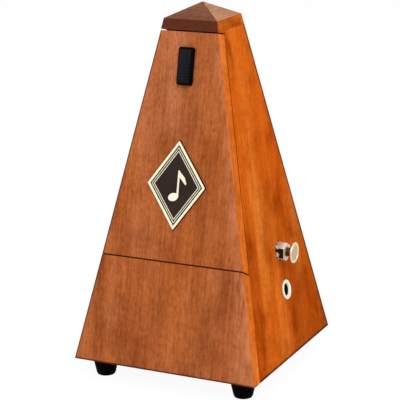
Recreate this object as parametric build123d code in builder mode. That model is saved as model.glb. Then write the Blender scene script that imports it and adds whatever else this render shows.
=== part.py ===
from build123d import *
import os
from math import acos, atan, atan2, cos, degrees, hypot, pi, radians, sin, sqrt, tan

# Case: a square pyramid with its top cut off, in millimetres
base_size = 117.5
top_size = 36.7
shell_height = 195.0
foot_height = 12.4
cap_band = 6.2
cap_rise = 8.4
side_thickness = 6.5
back_thickness = 6.5
front_thickness = 8.0
base_thickness = 8.0
split_slant = 64.9
split_fall = 26.8
cover_gap = 0.7
cover_back_gap = 0.5
plug_height = 9.0
glue_block_size = 9.0
glue_block_height = 14.0

# Feet and their screws
foot_side_inset = 13.55
foot_front_inset = 14.65
foot_rear_inset = 21.5
foot_top_radius = 8.3
foot_bottom_radius = 5.5
foot_rounding = 0.8
screw_head_radius = 2.6
screw_shank_radius = 1.4
screw_head_height = 1.8
screw_recess = 4.0
screw_head_play = 0.3

# Front cover: latch, badge and tongues
latch_width = 9.8
latch_length = 22.0
latch_slant = 178.7
latch_corner = 1.6
latch_chamfer = 1.4
latch_proud = 3.2
latch_travel = 4.0
latch_face_gap = 0.15
shank_width = 4.8
shank_length = 7.0
shank_slant = 183.3
shank_play = 0.3
arm_thickness = 1.4
arm_width = 9.0
arm_length = 14.0
hook_thickness = 1.4
hook_reach = 2.9
hook_rise = 4.2
keeper_thickness = 0.6
keeper_gap = 0.5
keeper_width = 8.0
keeper_engage = 2.6
spring_radius = 1.4
spring_wire = 0.25
badge_width = 36.75
badge_height = 51.85
badge_slant = 109.95
badge_plate = 1.0
badge_trim_rise = 0.4
badge_bands = ((1.0, 0.905), (0.855, 0.828), (0.79, 0.763))
note_head = (3.2, 2.3)
note_stem = (1.1, 15.6)
note_flag = ((0, 0), (0, -3.3), (4.5, -8.0), (5.1, -7.4), (4.0, -4.0))
tongue_side_gap = 0.8
tongue_width = 6.0
tongue_thickness = 1.2
tongue_reach = 10.0
tongue_length = 29.0
tongue_screw_radius = 1.0

# Scale board and tempo plate behind the pendulum
board_depth = 16.0
board_thickness = 4.0
board_low = 70.0
board_high = 192.0
scale_thickness = 0.8
scale_low = 74.0
scale_high = 186.0
scale_margin = 3.2

# Pendulum, measured along the lean of the front
pivot_slant = 60.0
rod_depth = 10.7
rod_thickness = 1.0
rod_width = 3.0
rod_reach = 115.0
rod_tail = 43.0
arbor_radius = 1.25
bearing_play = 0.04
hub_radius = 4.0
hub_length = 2.0
bob_radius = 12.0
bob_reach = 33.0
bob_depth = 8.7
bob_length = 12.0
weight_top = 14.0
weight_bottom = 10.0
weight_height = 18.0
weight_depth = 8.3
weight_length = 5.9
weight_reach = 60.0
weight_play = 0.1
front_bar_depth = 14.0
front_bar_length = 3.0
rear_bar_depth = 36.0
rear_bar_length = 2.5
pallet_gap = 0.8
pallet_width = 3.0
pallet_drop = 5.0
pallet_spread = 4.0
pallet_sleeve_radius = 2.2

# Movement: two plates with the train between them, axes along X
plate_inside = 26.0
plate_thickness = 1.5
flange_width = 9.5
pillar_radius = 2.5
pillar_front = -2.0
pillar_low = 6.5
pillar_back = 15.0
pillar_far = 20.5
pillar_high = 11.0
wind_y = 7.0
wind_z = 50.6
escape_depth = 27.4
escape_drop = 12.4
great_teeth = 60
great_module = 0.6
second_teeth = 54
second_module = 0.5
pinion_teeth = 12
wheel_thickness = 2.0
second_wheel_x = 13.0
wind_radius = 2.0
wind_square = 3.2
wind_square_length = 12.0
wind_end_gap = 2.0
ratchet_gap = 1.2
ratchet_thickness = 1.8
arbor_thick = 1.2
pivot_radius = 0.8
barrel_radius = 14.5
barrel_wall = 1.0
barrel_left = -5.5
barrel_right = 7.0
spring_turns = 9
spring_pitch = 0.95
spring_strip = 0.4
spring_inner = 3.4
escape_teeth = 12
escape_tip = 8.5
escape_root = 6.3
escape_thickness = 2.4
cam_tip = 6.0
cam_root = 4.7
cam_pitch = 3.0
cam_first = -18.5
ratchet_teeth = 20
ratchet_tip = 9.0
ratchet_root = 7.7

# Bell, hammer and the pull on the right side
pull_y = 7.5
pull_z = 74.0
pull_radius = 1.5
pull_play = 0.04
pull_end = -25.6
knob_radius = 6.3
knob_gap = 3.6
knob_thickness = 1.5
knob_rounding = 0.5
knob_seat = 0.8
bush_corner = 5.8
bush_rise = 5.1
bush_tube = 3.5
bush_tail = 3.0
bush_play = 0.05
collar_thickness = 1.5
hammer_x = -21.5
follower_gap = 2.5
hammer_thickness = 2.0
hammer_hub = 3.0
hammer_hub_length = 4.0
hammer_arm = 3.0
head_radius = 2.8
head_length = 6.0
bell_x = -14.0
bell_y = 30.5
bell_radius = 10.5
bell_gap = 2.0
bell_wall = 1.2
bell_rim = 39.0
post_radius = 2.0
stud_radius = 1.2

# Keyhole in the right side
eyelet_radius = 6.0
eyelet_bore = 3.5
eyelet_tube = 4.4
eyelet_rise = 0.8

os.makedirs("parts", exist_ok=True)

FRONT = (0, -1)
RIGHT = (1, 0)
BACK = (0, 1)
LEFT = (-1, 0)

lean = atan((base_size - top_size) / 2 / shell_height)
shell_top = foot_height + shell_height
base_top = foot_height + base_thickness
cover_thickness = front_thickness - cover_back_gap
cover_low = split_slant + cover_gap / 2
cover_high = shell_height / cos(lean) - cover_gap
foot_x = base_size / 2 - foot_side_inset
foot_y = base_size / 2 - foot_front_inset


def face_x(height):
    """Half-width of the case's outside at a height above the table."""
    return base_size / 2 - (height - foot_height) * tan(lean)


def inner_half(slant, depth):
    """Half-width between the side boards, at a place up the front's slope and behind it."""
    height = foot_height + slant * cos(lean) - depth * sin(lean)
    return face_x(height) - side_thickness / cos(lean)


def face_plane(facing, depth=0.0):
    """Plane of an outside face of the case, moved inwards by depth; its y runs up the slope."""
    out = Vector(facing[0], facing[1], 0)
    normal = out * cos(lean) + Vector(0, 0, sin(lean))
    foot = out * (base_size / 2) + Vector(0, 0, foot_height)
    return Plane(origin=foot - normal * depth, x_dir=Vector(0, 0, 1).cross(out), z_dir=normal)


def across(x, y=0.0, z=0.0):
    """Plane facing +X whose own x runs along Y and whose own y runs along Z."""
    return Plane(origin=(x, y, z), x_dir=(0, 1, 0), z_dir=(1, 0, 0))


def trim(*planes):
    """Keep what lies behind each of the planes."""
    for plane in planes:
        split(bisect_by=plane, keep=Keep.BOTTOM)


def board(facing, thickness):
    """A board lying under one outside face, larger than that face."""
    with BuildSketch(face_plane(facing)) as outline:
        Rectangle(base_size * 1.2, shell_height * 2.2)
    extrude(outline.sketch, amount=-thickness)


def slab(depth, thickness, low, high, half):
    """A block parallel to the front, between two heights up the slope."""
    with BuildSketch(face_plane(FRONT, depth)) as outline:
        with Locations((0, (low + high) / 2)):
            Rectangle(2 * half, high - low)
    extrude(outline.sketch, amount=-thickness)


def split_plane(slant, down):
    """Plane of the joint between cover and lower front, falling inwards from a place up the slope."""
    edge = face_plane(FRONT).from_local_coords((0, slant, 0))
    up = Vector(0, sin(radians(split_fall)), cos(radians(split_fall)))
    return Plane(origin=edge, x_dir=(1, 0, 0), z_dir=up * (-1 if down else 1))


def pin(x, y, z, radius, length):
    """A round bar along +X."""
    with BuildSketch(across(x, y, z)) as outline:
        Circle(radius)
    extrude(outline.sketch, amount=length)


def bored(x, y, z, radius, length):
    """A round hole along +X."""
    with BuildSketch(across(x, y, z)) as outline:
        Circle(radius)
    extrude(outline.sketch, amount=length, mode=Mode.SUBTRACT)


def depth_pin(slant, depth, radius, length, x=0.0):
    """A round bar square to the front, running inwards."""
    with BuildSketch(face_plane(FRONT, depth)) as outline:
        with Locations((x, slant)):
            Circle(radius)
    extrude(outline.sketch, amount=-length)


def depth_hole(slant, depth, radius, length, x=0.0):
    """A round hole square to the front, running inwards."""
    with BuildSketch(face_plane(FRONT, depth)) as outline:
        with Locations((x, slant)):
            Circle(radius)
    extrude(outline.sketch, amount=-length, mode=Mode.SUBTRACT)


def star(points, tip, root, turn=0.0, lag=0.5):
    """Corner points of a star; lag sets where each root lies between two tips."""
    corners = []
    for i in range(points):
        at_tip = radians(turn) + 2 * pi * i / points
        at_root = at_tip + 2 * pi * lag / points
        corners.append((tip * cos(at_tip), tip * sin(at_tip)))
        corners.append((root * cos(at_root), root * sin(at_root)))
    return corners


def gear(teeth, module, turn):
    """Corner points of a spur gear with a tooth at angle turn and loose, short teeth."""
    pitch_radius = teeth * module / 2
    base_radius = pitch_radius * cos(radians(20))
    tip_radius = pitch_radius + 0.7 * module
    root_radius = pitch_radius - 1.1 * module
    half_tooth = 0.75 * pi / (2 * teeth)

    def flank(radius):
        slope = acos(min(1.0, base_radius / radius))
        return half_tooth + tan(radians(20)) - radians(20) - tan(slope) + slope

    corners = []
    for i in range(teeth):
        middle = radians(turn) + 2 * pi * i / teeth
        for radius in (root_radius, pitch_radius, tip_radius):
            angle = middle - flank(radius)
            corners.append((radius * cos(angle), radius * sin(angle)))
        for radius in (tip_radius, pitch_radius, root_radius):
            angle = middle + flank(radius)
            corners.append((radius * cos(angle), radius * sin(angle)))
    return corners


def wheel(plane, corners, bore, thickness):
    """A flat toothed wheel with a round bore, extruded along the plane's axis."""
    with BuildSketch(plane) as outline:
        with BuildLine():
            Polyline(*corners, close=True)
        make_face()
        if bore > 0:
            Circle(bore, mode=Mode.SUBTRACT)
    extrude(outline.sketch, amount=thickness)


def strip(start, end, width):
    """Corners of a straight strip between two points, with square ends."""
    along = (Vector(*end) - Vector(*start)).normalized()
    side = Vector(-along.Y, along.X) * (width / 2)
    a, b = Vector(*start), Vector(*end)
    return [(p.X, p.Y) for p in (a + side, b + side, b - side, a - side)]


# The escape wheel hangs below the pendulum's arbor, square to it
escape_slant = pivot_slant - escape_drop
escape_y = -base_size / 2 + escape_slant * sin(lean) + escape_depth * cos(lean)
escape_z = foot_height + escape_slant * cos(lean) - escape_depth * sin(lean)
pillar_spots = [
    (escape_y + pillar_front, base_top + pillar_low),
    (wind_y + pillar_back, base_top + pillar_low),
    (wind_y + pillar_far, wind_z + pillar_high),
]

# Where the second arbor stands: it meshes with the great wheel and with the escape pinion
great_centres = (great_teeth + pinion_teeth) * great_module / 2
second_centres = (second_teeth + pinion_teeth) * second_module / 2
span = hypot(escape_y - wind_y, escape_z - wind_z)
along = (great_centres**2 - second_centres**2 + span**2) / (2 * span)
aside = sqrt(great_centres**2 - along**2)
to_escape = Vector(escape_y - wind_y, escape_z - wind_z) / span
below = Vector(-to_escape.Y, to_escape.X)
second_spot = Vector(wind_y, wind_z) + to_escape * along + below * aside
second_y = second_spot.X
second_z = second_spot.Y
great_turn = degrees(atan2(second_z - wind_z, second_y - wind_y))
second_turn = degrees(atan2(escape_z - second_z, escape_y - second_y))
half_pinion = 180.0 / pinion_teeth

inner_left = face_plane(LEFT, side_thickness)
inner_right = face_plane(RIGHT, side_thickness)
inner_back = face_plane(BACK, back_thickness)
inner_front = face_plane(FRONT, front_thickness)
floor_plane = Plane(origin=(0, 0, foot_height), z_dir=(0, 0, -1))
top_plane = Plane(origin=(0, 0, shell_top), z_dir=(0, 0, 1))
foot_rows = ((foot_x, -foot_y), (base_size / 2 - foot_rear_inset, foot_y))
foot_spots = [(side * x, y) for x, y in foot_rows for side in (-1, 1)]
flange_spots = [(s * (plate_inside + plate_thickness + 5), y) for s in (-1, 1) for y in (-20.0, 15.0)]

# Base board with pilot holes for the feet and the movement
with BuildPart() as base_board:
    with BuildSketch(Plane.XY.offset(foot_height)):
        Rectangle(base_size, base_size)
        with Locations(*foot_spots):
            Circle(screw_shank_radius, mode=Mode.SUBTRACT)
        with Locations(*flange_spots):
            Circle(screw_shank_radius, mode=Mode.SUBTRACT)
    extrude(amount=base_thickness)
    trim(inner_left, inner_right, inner_front, inner_back)
base_board.part.label = "base_board"
export_step(base_board.part, "parts/base_board.step")

with BuildPart() as left_side:
    board(LEFT, side_thickness)
    trim(inner_front, face_plane(BACK), floor_plane, top_plane)
left_side.part.label = "left_side"
export_step(left_side.part, "parts/left_side.step")

# Right side with holes for the keyhole eyelet and the bell pull
eyelet_slant = (wind_z - foot_height) / cos(lean)
with BuildPart() as right_side:
    board(RIGHT, side_thickness)
    trim(inner_front, face_plane(BACK), floor_plane, top_plane)
    with BuildSketch(face_plane(RIGHT)) as eyelet_hole:
        with Locations((wind_y, eyelet_slant)):
            Circle(eyelet_tube)
    extrude(eyelet_hole.sketch, amount=-side_thickness, mode=Mode.SUBTRACT)
    bored(0, pull_y, pull_z, bush_tube + bush_play, base_size)
right_side.part.label = "right_side"
export_step(right_side.part, "parts/right_side.step")

with BuildPart() as back_panel:
    board(BACK, back_thickness)
    trim(inner_left, inner_right, floor_plane, top_plane)
back_panel.part.label = "back_panel"
export_step(back_panel.part, "parts/back_panel.step")

# Lower front with shallow pockets behind its top edge for the cover's tongues
lower_high = split_slant - cover_gap / 2
tongue_low = lower_high - tongue_reach
tongue_high = tongue_low + tongue_length
tongue_back = cover_thickness + tongue_thickness
tongue_spot = inner_half(tongue_high, tongue_back) - tongue_width / 2 - tongue_side_gap
with BuildPart() as lower_front:
    slab(0, front_thickness, -base_size, lower_high + front_thickness, base_size)
    trim(face_plane(LEFT), face_plane(RIGHT), floor_plane, split_plane(lower_high, False))
    with BuildSketch(face_plane(FRONT, front_thickness)) as pockets:
        for side in (-1, 1):
            with Locations((side * tongue_spot, lower_high - tongue_reach / 2)):
                Rectangle(tongue_width + 1, tongue_reach + 1.5)
    extrude(pockets.sketch, amount=cover_back_gap + 0.3, mode=Mode.SUBTRACT)
lower_front.part.label = "lower_front"
export_step(lower_front.part, "parts/lower_front.step")

# Cap: a band that keeps the slope of the case, a low pyramid on top and a wedge over the cover
cap_half = top_size / 2 - cap_band * tan(lean)
shell_slant = shell_height / cos(lean)
with BuildPart() as top_cap:
    slab(0, front_thickness, shell_slant, shell_slant + cap_band, top_size)
    trim(face_plane(LEFT), face_plane(RIGHT), top_plane)
    with BuildSketch(Plane.XY.offset(shell_top)):
        Rectangle(top_size, top_size)
    extrude(amount=cap_band + cap_rise)
    for facing in (FRONT, RIGHT, BACK, LEFT):
        out = Vector(facing[0], facing[1], 0)
        edge = out * cap_half + Vector(0, 0, shell_top + cap_band)
        trim(face_plane(facing), Plane(origin=edge, z_dir=out * cap_rise + Vector(0, 0, cap_half)))
top_cap.part.label = "top_cap"
export_step(top_cap.part, "parts/top_cap.step")

# Block under the cap that ties the sides and the back together
with BuildPart() as cap_plug:
    with BuildSketch(Plane.XY.offset(shell_top)):
        Rectangle(top_size * 2, top_size * 2)
    extrude(amount=-plug_height)
    trim(inner_left, inner_right, inner_back)
    trim(face_plane(FRONT, board_depth + board_thickness))
cap_plug.part.label = "cap_plug"
export_step(cap_plug.part, "parts/cap_plug.step")

with BuildPart() as glue_blocks:
    with BuildSketch(Plane.XY.offset(base_top)):
        for x in (-1, 1):
            for y in (-1, 1):
                with Locations((x * base_size / 2, y * base_size / 2)):
                    Rectangle(glue_block_size * 4, glue_block_size * 4)
    extrude(amount=glue_block_height)
    trim(inner_left, inner_right, inner_front, inner_back)
glue_blocks.part.label = "glue_blocks"
export_step(glue_blocks.part, "parts/glue_blocks.step")

# Rubber feet, each with a recessed screw
with BuildPart() as feet:
    with BuildSketch(Plane.XY.offset(foot_height)):
        with Locations(*foot_spots):
            Circle(foot_top_radius)
    extrude(amount=-foot_height, taper=degrees(atan((foot_top_radius - foot_bottom_radius) / foot_height)))
    fillet(feet.edges().group_by(Axis.Z)[0], foot_rounding)
    with BuildSketch(Plane.XY) as recesses:
        with Locations(*foot_spots):
            Circle(screw_head_radius + screw_head_play)
    extrude(recesses.sketch, amount=screw_recess + screw_head_height, mode=Mode.SUBTRACT)
    with BuildSketch(Plane.XY) as shanks:
        with Locations(*foot_spots):
            Circle(screw_shank_radius)
    extrude(shanks.sketch, amount=foot_height, mode=Mode.SUBTRACT)
feet.part.label = "feet"
export_step(feet.part, "parts/feet.step")

with BuildPart() as foot_screws:
    with BuildSketch(Plane.XY.offset(screw_recess)):
        with Locations(*foot_spots):
            Circle(screw_head_radius)
    extrude(amount=screw_head_height)
    with BuildSketch(Plane.XY.offset(screw_recess + screw_head_height)):
        with Locations(*foot_spots):
            Circle(screw_shank_radius)
    extrude(amount=base_top - 2 - screw_recess - screw_head_height)
    with BuildSketch(Plane.XY.offset(screw_recess)) as slots:
        with Locations(*foot_spots):
            Rectangle(2 * screw_head_radius, 0.7)
    extrude(slots.sketch, amount=0.7, mode=Mode.SUBTRACT)
foot_screws.part.label = "foot_screws"
export_step(foot_screws.part, "parts/foot_screws.step")

# Front cover, with a slot for the latch
shank_top = shank_slant + shank_length / 2
slot_top = shank_top + shank_play
shank_bottom = shank_slant - shank_length / 2
slot_bottom = shank_bottom - latch_travel - 3.0
tongue_holes = [tongue_high - 4, tongue_high - 12]
with BuildPart() as front_cover:
    slab(0, cover_thickness, cover_low - cover_thickness, cover_high, base_size)
    trim(face_plane(LEFT), face_plane(RIGHT), split_plane(cover_low, True))
    with BuildSketch(face_plane(FRONT)) as slot:
        with Locations((0, (slot_top + slot_bottom) / 2)):
            Rectangle(shank_width + 2 * shank_play, slot_top - slot_bottom)
    extrude(slot.sketch, amount=-front_thickness, mode=Mode.SUBTRACT)
    for side in (-1, 1):
        for slant in tongue_holes:
            depth_hole(slant, cover_thickness - 4, tongue_screw_radius, 4, side * tongue_spot)
front_cover.part.label = "front_cover"
export_step(front_cover.part, "parts/front_cover.step")

# Two steel tongues reach down behind the lower front
with BuildPart() as cover_tongues:
    with BuildSketch(face_plane(FRONT, cover_thickness)):
        for side in (-1, 1):
            with Locations((side * tongue_spot, tongue_low + tongue_length / 2)):
                Rectangle(tongue_width, tongue_length)
            for slant in tongue_holes:
                with Locations((side * tongue_spot, slant)):
                    Circle(tongue_screw_radius, mode=Mode.SUBTRACT)
    extrude(amount=-tongue_thickness)
cover_tongues.part.label = "cover_tongues"
export_step(cover_tongues.part, "parts/cover_tongues.step")

with BuildPart() as tongue_screws:
    for side in (-1, 1):
        for slant in tongue_holes:
            x = side * tongue_spot
            depth_pin(slant, cover_thickness - 4, tongue_screw_radius, 4 + tongue_thickness, x)
            depth_pin(slant, tongue_back, 2 * tongue_screw_radius, 0.8, x)
tongue_screws.part.label = "tongue_screws"
export_step(tongue_screws.part, "parts/tongue_screws.step")

# Latch: a button on the front, a shank through the slot and a hook behind the cover
arm_depth = cover_thickness + 0.3
arm_low = shank_slant - 5
arm_high = arm_low + arm_length
hook_depth = arm_depth + arm_thickness + hook_reach - hook_thickness
with BuildPart() as cover_latch:
    with BuildSketch(face_plane(FRONT, -latch_face_gap)):
        with Locations((0, latch_slant)):
            RectangleRounded(latch_width, latch_length, latch_corner)
    extrude(amount=latch_proud - latch_face_gap)
    outer = cover_latch.faces().filter_by(face_plane(FRONT)).sort_by(Axis.Y)[0]
    chamfer(outer.edges(), latch_chamfer)
    slab(-latch_face_gap, arm_depth + latch_face_gap, shank_bottom, shank_top, shank_width / 2)
    slab(arm_depth, arm_thickness, arm_low, arm_high, arm_width / 2)
    slab(arm_depth + arm_thickness, hook_reach, arm_high - hook_thickness, arm_high, keeper_width / 2)
    slab(hook_depth, hook_thickness, arm_high - hook_thickness, arm_high + hook_rise, keeper_width / 2)
cover_latch.part.label = "cover_latch"
export_step(cover_latch.part, "parts/cover_latch.step")

# Coil spring under the latch's shank
spring_height = shank_bottom - slot_bottom - 2 * spring_wire - 0.1
spring_low = slot_bottom + spring_wire + 0.05
spring_foot = face_plane(FRONT, cover_thickness / 2).from_local_coords((0, spring_low, 0))
up_slope = face_plane(FRONT).y_dir
spring_plane = Plane(origin=spring_foot, x_dir=(1, 0, 0), z_dir=up_slope)
with BuildPart() as latch_spring:
    with BuildLine(spring_plane) as coil:
        Helix(pitch=spring_height / 5, height=spring_height, radius=spring_radius)
    with BuildSketch(Plane(origin=coil.line @ 0, z_dir=coil.line % 0)):
        Circle(spring_wire)
    sweep(path=coil.line)
latch_spring.part.label = "latch_spring"
export_step(latch_spring.part, "parts/latch_spring.step")

# Keeper: a spring leaf under the cap that the latch's hook catches behind
keeper_depth = hook_depth - keeper_gap - keeper_thickness
keeper_low = arm_high + hook_rise - keeper_engage
with BuildPart() as latch_keeper:
    slab(keeper_depth, keeper_thickness, keeper_low, cover_high + 10, keeper_width / 2)
    with BuildSketch(Plane.XY.offset(shell_top)):
        Rectangle(keeper_width, top_size)
    extrude(amount=-keeper_thickness)
    trim(top_plane, face_plane(FRONT, keeper_depth))
    split(bisect_by=face_plane(FRONT, board_depth + board_thickness), keep=Keep.TOP)
latch_keeper.part.label = "latch_keeper"
export_step(latch_keeper.part, "parts/latch_keeper.step")


def diamond(scale):
    """Corners of the badge's outline at a scale about its middle."""
    wide = badge_width / 2 * scale
    tall = badge_height / 2 * scale
    return [(0, -tall), (wide, 0), (0, tall), (-wide, 0)]


# Badge: a dark plate with raised diamond bands and a plain eighth note
with BuildPart() as badge_base:
    with BuildSketch(face_plane(FRONT)):
        with Locations((0, badge_slant)):
            Polygon(*diamond(1.0), align=None)
    extrude(amount=badge_plate)
badge_base.part.label = "badge_base"
export_step(badge_base.part, "parts/badge_base.step")

with BuildPart() as badge_trim:
    with BuildSketch(face_plane(FRONT, -badge_plate)):
        for outside, inside in badge_bands:
            with Locations((0, badge_slant)):
                Polygon(*diamond(outside), align=None)
                Polygon(*diamond(inside), align=None, mode=Mode.SUBTRACT)
    extrude(amount=badge_trim_rise)
badge_trim.part.label = "badge_trim"
export_step(badge_trim.part, "parts/badge_trim.step")

stem_x = note_head[0] * 0.4
note_low = badge_slant - note_stem[1] * 0.44
with BuildPart() as badge_note:
    with BuildSketch(face_plane(FRONT, -badge_plate)):
        with Locations(Location((stem_x - note_head[0] * 0.82, note_low), 20)):
            Ellipse(*note_head)
        with Locations((stem_x, note_low + note_stem[1] / 2)):
            Rectangle(*note_stem)
        with Locations((stem_x, note_low + note_stem[1])):
            Polygon(*note_flag, align=None)
    extrude(amount=badge_trim_rise)
badge_note.part.label = "badge_note"
export_step(badge_note.part, "parts/badge_note.step")

# Scale board with its plate, screws and the clip that holds the rod's tip
scale_low_half = inner_half(scale_low, board_depth) - scale_margin
scale_high_half = inner_half(scale_high, board_depth) - scale_margin
screw_rows = ((scale_low_half - 4, scale_low + 3), (scale_high_half - 2.4, scale_high - 3))
scale_screw_spots = [(side * across_by, slant) for side in (-1, 1) for across_by, slant in screw_rows]
clip_slant = pivot_slant + rod_reach - 3
with BuildPart() as scale_board:
    slab(board_depth, board_thickness, board_low, board_high, base_size)
    trim(inner_left, inner_right)
    for x, slant in scale_screw_spots:
        depth_hole(slant, board_depth, 0.8, 3, x)
scale_board.part.label = "scale_board"
export_step(scale_board.part, "parts/scale_board.step")

with BuildPart() as scale_plate:
    with BuildSketch(face_plane(FRONT, board_depth - scale_thickness)):
        Polygon(
            (-scale_low_half, scale_low),
            (scale_low_half, scale_low),
            (scale_high_half, scale_high),
            (-scale_high_half, scale_high),
            align=None,
        )
        with Locations(*scale_screw_spots):
            Circle(0.8, mode=Mode.SUBTRACT)
    extrude(amount=-scale_thickness)
scale_plate.part.label = "scale_plate"
export_step(scale_plate.part, "parts/scale_plate.step")

with BuildPart() as scale_screws:
    for x, slant in scale_screw_spots:
        depth_pin(slant, board_depth - scale_thickness, 0.8, scale_thickness + 3, x)
        depth_pin(slant, board_depth - scale_thickness - 0.7, 1.6, 0.7, x)
scale_screws.part.label = "scale_screws"
export_step(scale_screws.part, "parts/scale_screws.step")

with BuildPart() as rod_clip:
    slab(board_depth - scale_thickness - 1, 1, clip_slant - 4, clip_slant + 4, 6)
    for side in (-1, 1):
        with BuildSketch(face_plane(FRONT, board_depth - scale_thickness - 1)) as prong:
            with Locations((side * (rod_width / 2 + 1.2), clip_slant)):
                Rectangle(1, 6)
        extrude(prong.sketch, amount=1.9)
rod_clip.part.label = "rod_clip"
export_step(rod_clip.part, "parts/rod_clip.step")

# Eyelet in the keyhole
with BuildPart() as key_eyelet:
    with BuildSketch(face_plane(RIGHT)):
        with Locations((wind_y, eyelet_slant)):
            Circle(eyelet_radius)
    extrude(amount=eyelet_rise)
    with BuildSketch(face_plane(RIGHT)):
        with Locations((wind_y, eyelet_slant)):
            Circle(eyelet_tube)
    extrude(amount=-side_thickness)
    fillet(key_eyelet.edges().filter_by(GeomType.CIRCLE).sort_by(Axis.X)[-1], 0.5)
    with BuildSketch(face_plane(RIGHT, -10)) as key_way:
        with Locations((wind_y, eyelet_slant)):
            Circle(eyelet_bore)
    extrude(key_way.sketch, amount=-30, mode=Mode.SUBTRACT)
key_eyelet.part.label = "key_eyelet"
export_step(key_eyelet.part, "parts/key_eyelet.step")

# Where the pull's pieces stand along X
pull_face = face_x(pull_z)
bush_end = pull_face + bush_rise
bush_inner = pull_face - side_thickness / cos(lean) - bush_tail
knob_left = bush_end + knob_gap
knob_right = knob_left + knob_thickness

# Hexagonal bush that guides the bell pull through the side
with BuildPart() as bell_bush:
    with BuildSketch(across(0, pull_y, pull_z)):
        RegularPolygon(bush_corner, 6, rotation=90)
    extrude(amount=bush_end)
    split(bisect_by=face_plane(RIGHT), keep=Keep.TOP)
    pin(bush_inner, pull_y, pull_z, bush_tube, bush_end - bush_inner)
    bored(0, pull_y, pull_z, pull_radius + pull_play, base_size)
bell_bush.part.label = "bell_bush"
export_step(bell_bush.part, "parts/bell_bush.step")

# Pendulum: arbor, rod, hub, bob and the pallets that meet the escape wheel
with BuildPart() as pendulum_arbor:
    depth_pin(pivot_slant, rod_depth - 1.5, arbor_radius, rear_bar_depth + rear_bar_length - rod_depth + 1.5)
pendulum_arbor.part.label = "pendulum_arbor"
export_step(pendulum_arbor.part, "parts/pendulum_arbor.step")

with BuildPart() as pendulum_rod:
    slab(rod_depth, rod_thickness, pivot_slant - rod_tail, pivot_slant + rod_reach, rod_width / 2)
    depth_pin(pivot_slant, rod_depth, hub_radius * 0.75, rod_thickness)
    depth_hole(pivot_slant, rod_depth, arbor_radius, rod_thickness)
pendulum_rod.part.label = "pendulum_rod"
export_step(pendulum_rod.part, "parts/pendulum_rod.step")

with BuildPart() as pendulum_hub:
    depth_pin(pivot_slant, rod_depth + rod_thickness, hub_radius, hub_length)
    depth_hole(pivot_slant, rod_depth + rod_thickness, arbor_radius, hub_length)
pendulum_hub.part.label = "pendulum_hub"
export_step(pendulum_hub.part, "parts/pendulum_hub.step")

with BuildPart() as pendulum_bob:
    depth_pin(pivot_slant - bob_reach, bob_depth, bob_radius, bob_length)
    chamfer(pendulum_bob.edges().filter_by(GeomType.CIRCLE), 1.0)
    with BuildSketch(face_plane(FRONT, rod_depth)) as rod_slot:
        with Locations((0, pivot_slant - rod_tail + base_size / 2)):
            Rectangle(rod_width, base_size)
    extrude(rod_slot.sketch, amount=-rod_thickness, mode=Mode.SUBTRACT)
pendulum_bob.part.label = "pendulum_bob"
export_step(pendulum_bob.part, "parts/pendulum_bob.step")

with BuildPart() as pallets:
    depth_pin(pivot_slant, escape_depth - pallet_spread - 3, pallet_sleeve_radius, 2 * pallet_spread + 6)
    for side in (-1, 1):
        with BuildSketch(face_plane(FRONT, escape_depth + side * pallet_spread - 0.6)) as flag:
            middle = side * (escape_thickness / 2 + pallet_gap + pallet_width / 2)
            with Locations((-middle, pivot_slant - pallet_drop / 2)):
                Rectangle(pallet_width, pallet_drop)
        extrude(flag.sketch, amount=-1.2)
    depth_hole(pivot_slant, 0, arbor_radius, base_size)
pallets.part.label = "pallets"
export_step(pallets.part, "parts/pallets.step")

# Sliding weight with its leaf clip against the rod
weight_slant = pivot_slant + weight_reach
with BuildPart() as sliding_weight:
    with BuildSketch(face_plane(FRONT, weight_depth)):
        with Locations((0, weight_slant)):
            Polygon(
                (-weight_bottom / 2, -weight_height / 2),
                (weight_bottom / 2, -weight_height / 2),
                (weight_top / 2, weight_height / 2),
                (-weight_top / 2, weight_height / 2),
                align=None,
            )
    extrude(amount=-weight_length)
    with BuildSketch(face_plane(FRONT, rod_depth - weight_play)) as channel:
        with Locations((0, weight_slant)):
            Rectangle(rod_width + 2 * weight_play, base_size)
    extrude(channel.sketch, amount=-base_size, mode=Mode.SUBTRACT)
sliding_weight.part.label = "sliding_weight"
export_step(sliding_weight.part, "parts/sliding_weight.step")

with BuildPart() as weight_clip:
    slab(weight_depth + weight_length, 0.4, weight_slant - 6, weight_slant + 6, weight_bottom / 2 - 0.5)
    clip_back = weight_depth + weight_length
    clip_front = rod_depth + rod_thickness + weight_play
    slab(clip_front, clip_back - clip_front, weight_slant - 1, weight_slant + 1, rod_width / 2 - 0.2)
weight_clip.part.label = "weight_clip"
export_step(weight_clip.part, "parts/weight_clip.step")

# Bars between the plates that carry the pendulum's arbor
with BuildPart() as front_bearing:
    slab(front_bar_depth, front_bar_length, pivot_slant - 4.5, pivot_slant + 4.5, plate_inside)
    depth_hole(pivot_slant, front_bar_depth, arbor_radius + bearing_play, front_bar_length)
front_bearing.part.label = "front_bearing"
export_step(front_bearing.part, "parts/front_bearing.step")

with BuildPart() as rear_bearing:
    slab(rear_bar_depth, rear_bar_length, pivot_slant - 3, pivot_slant + 3.5, plate_inside)
    depth_hole(pivot_slant, rear_bar_depth, arbor_radius + bearing_play, rear_bar_length)
rear_bearing.part.label = "rear_bearing"
export_step(rear_bearing.part, "parts/rear_bearing.step")

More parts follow.
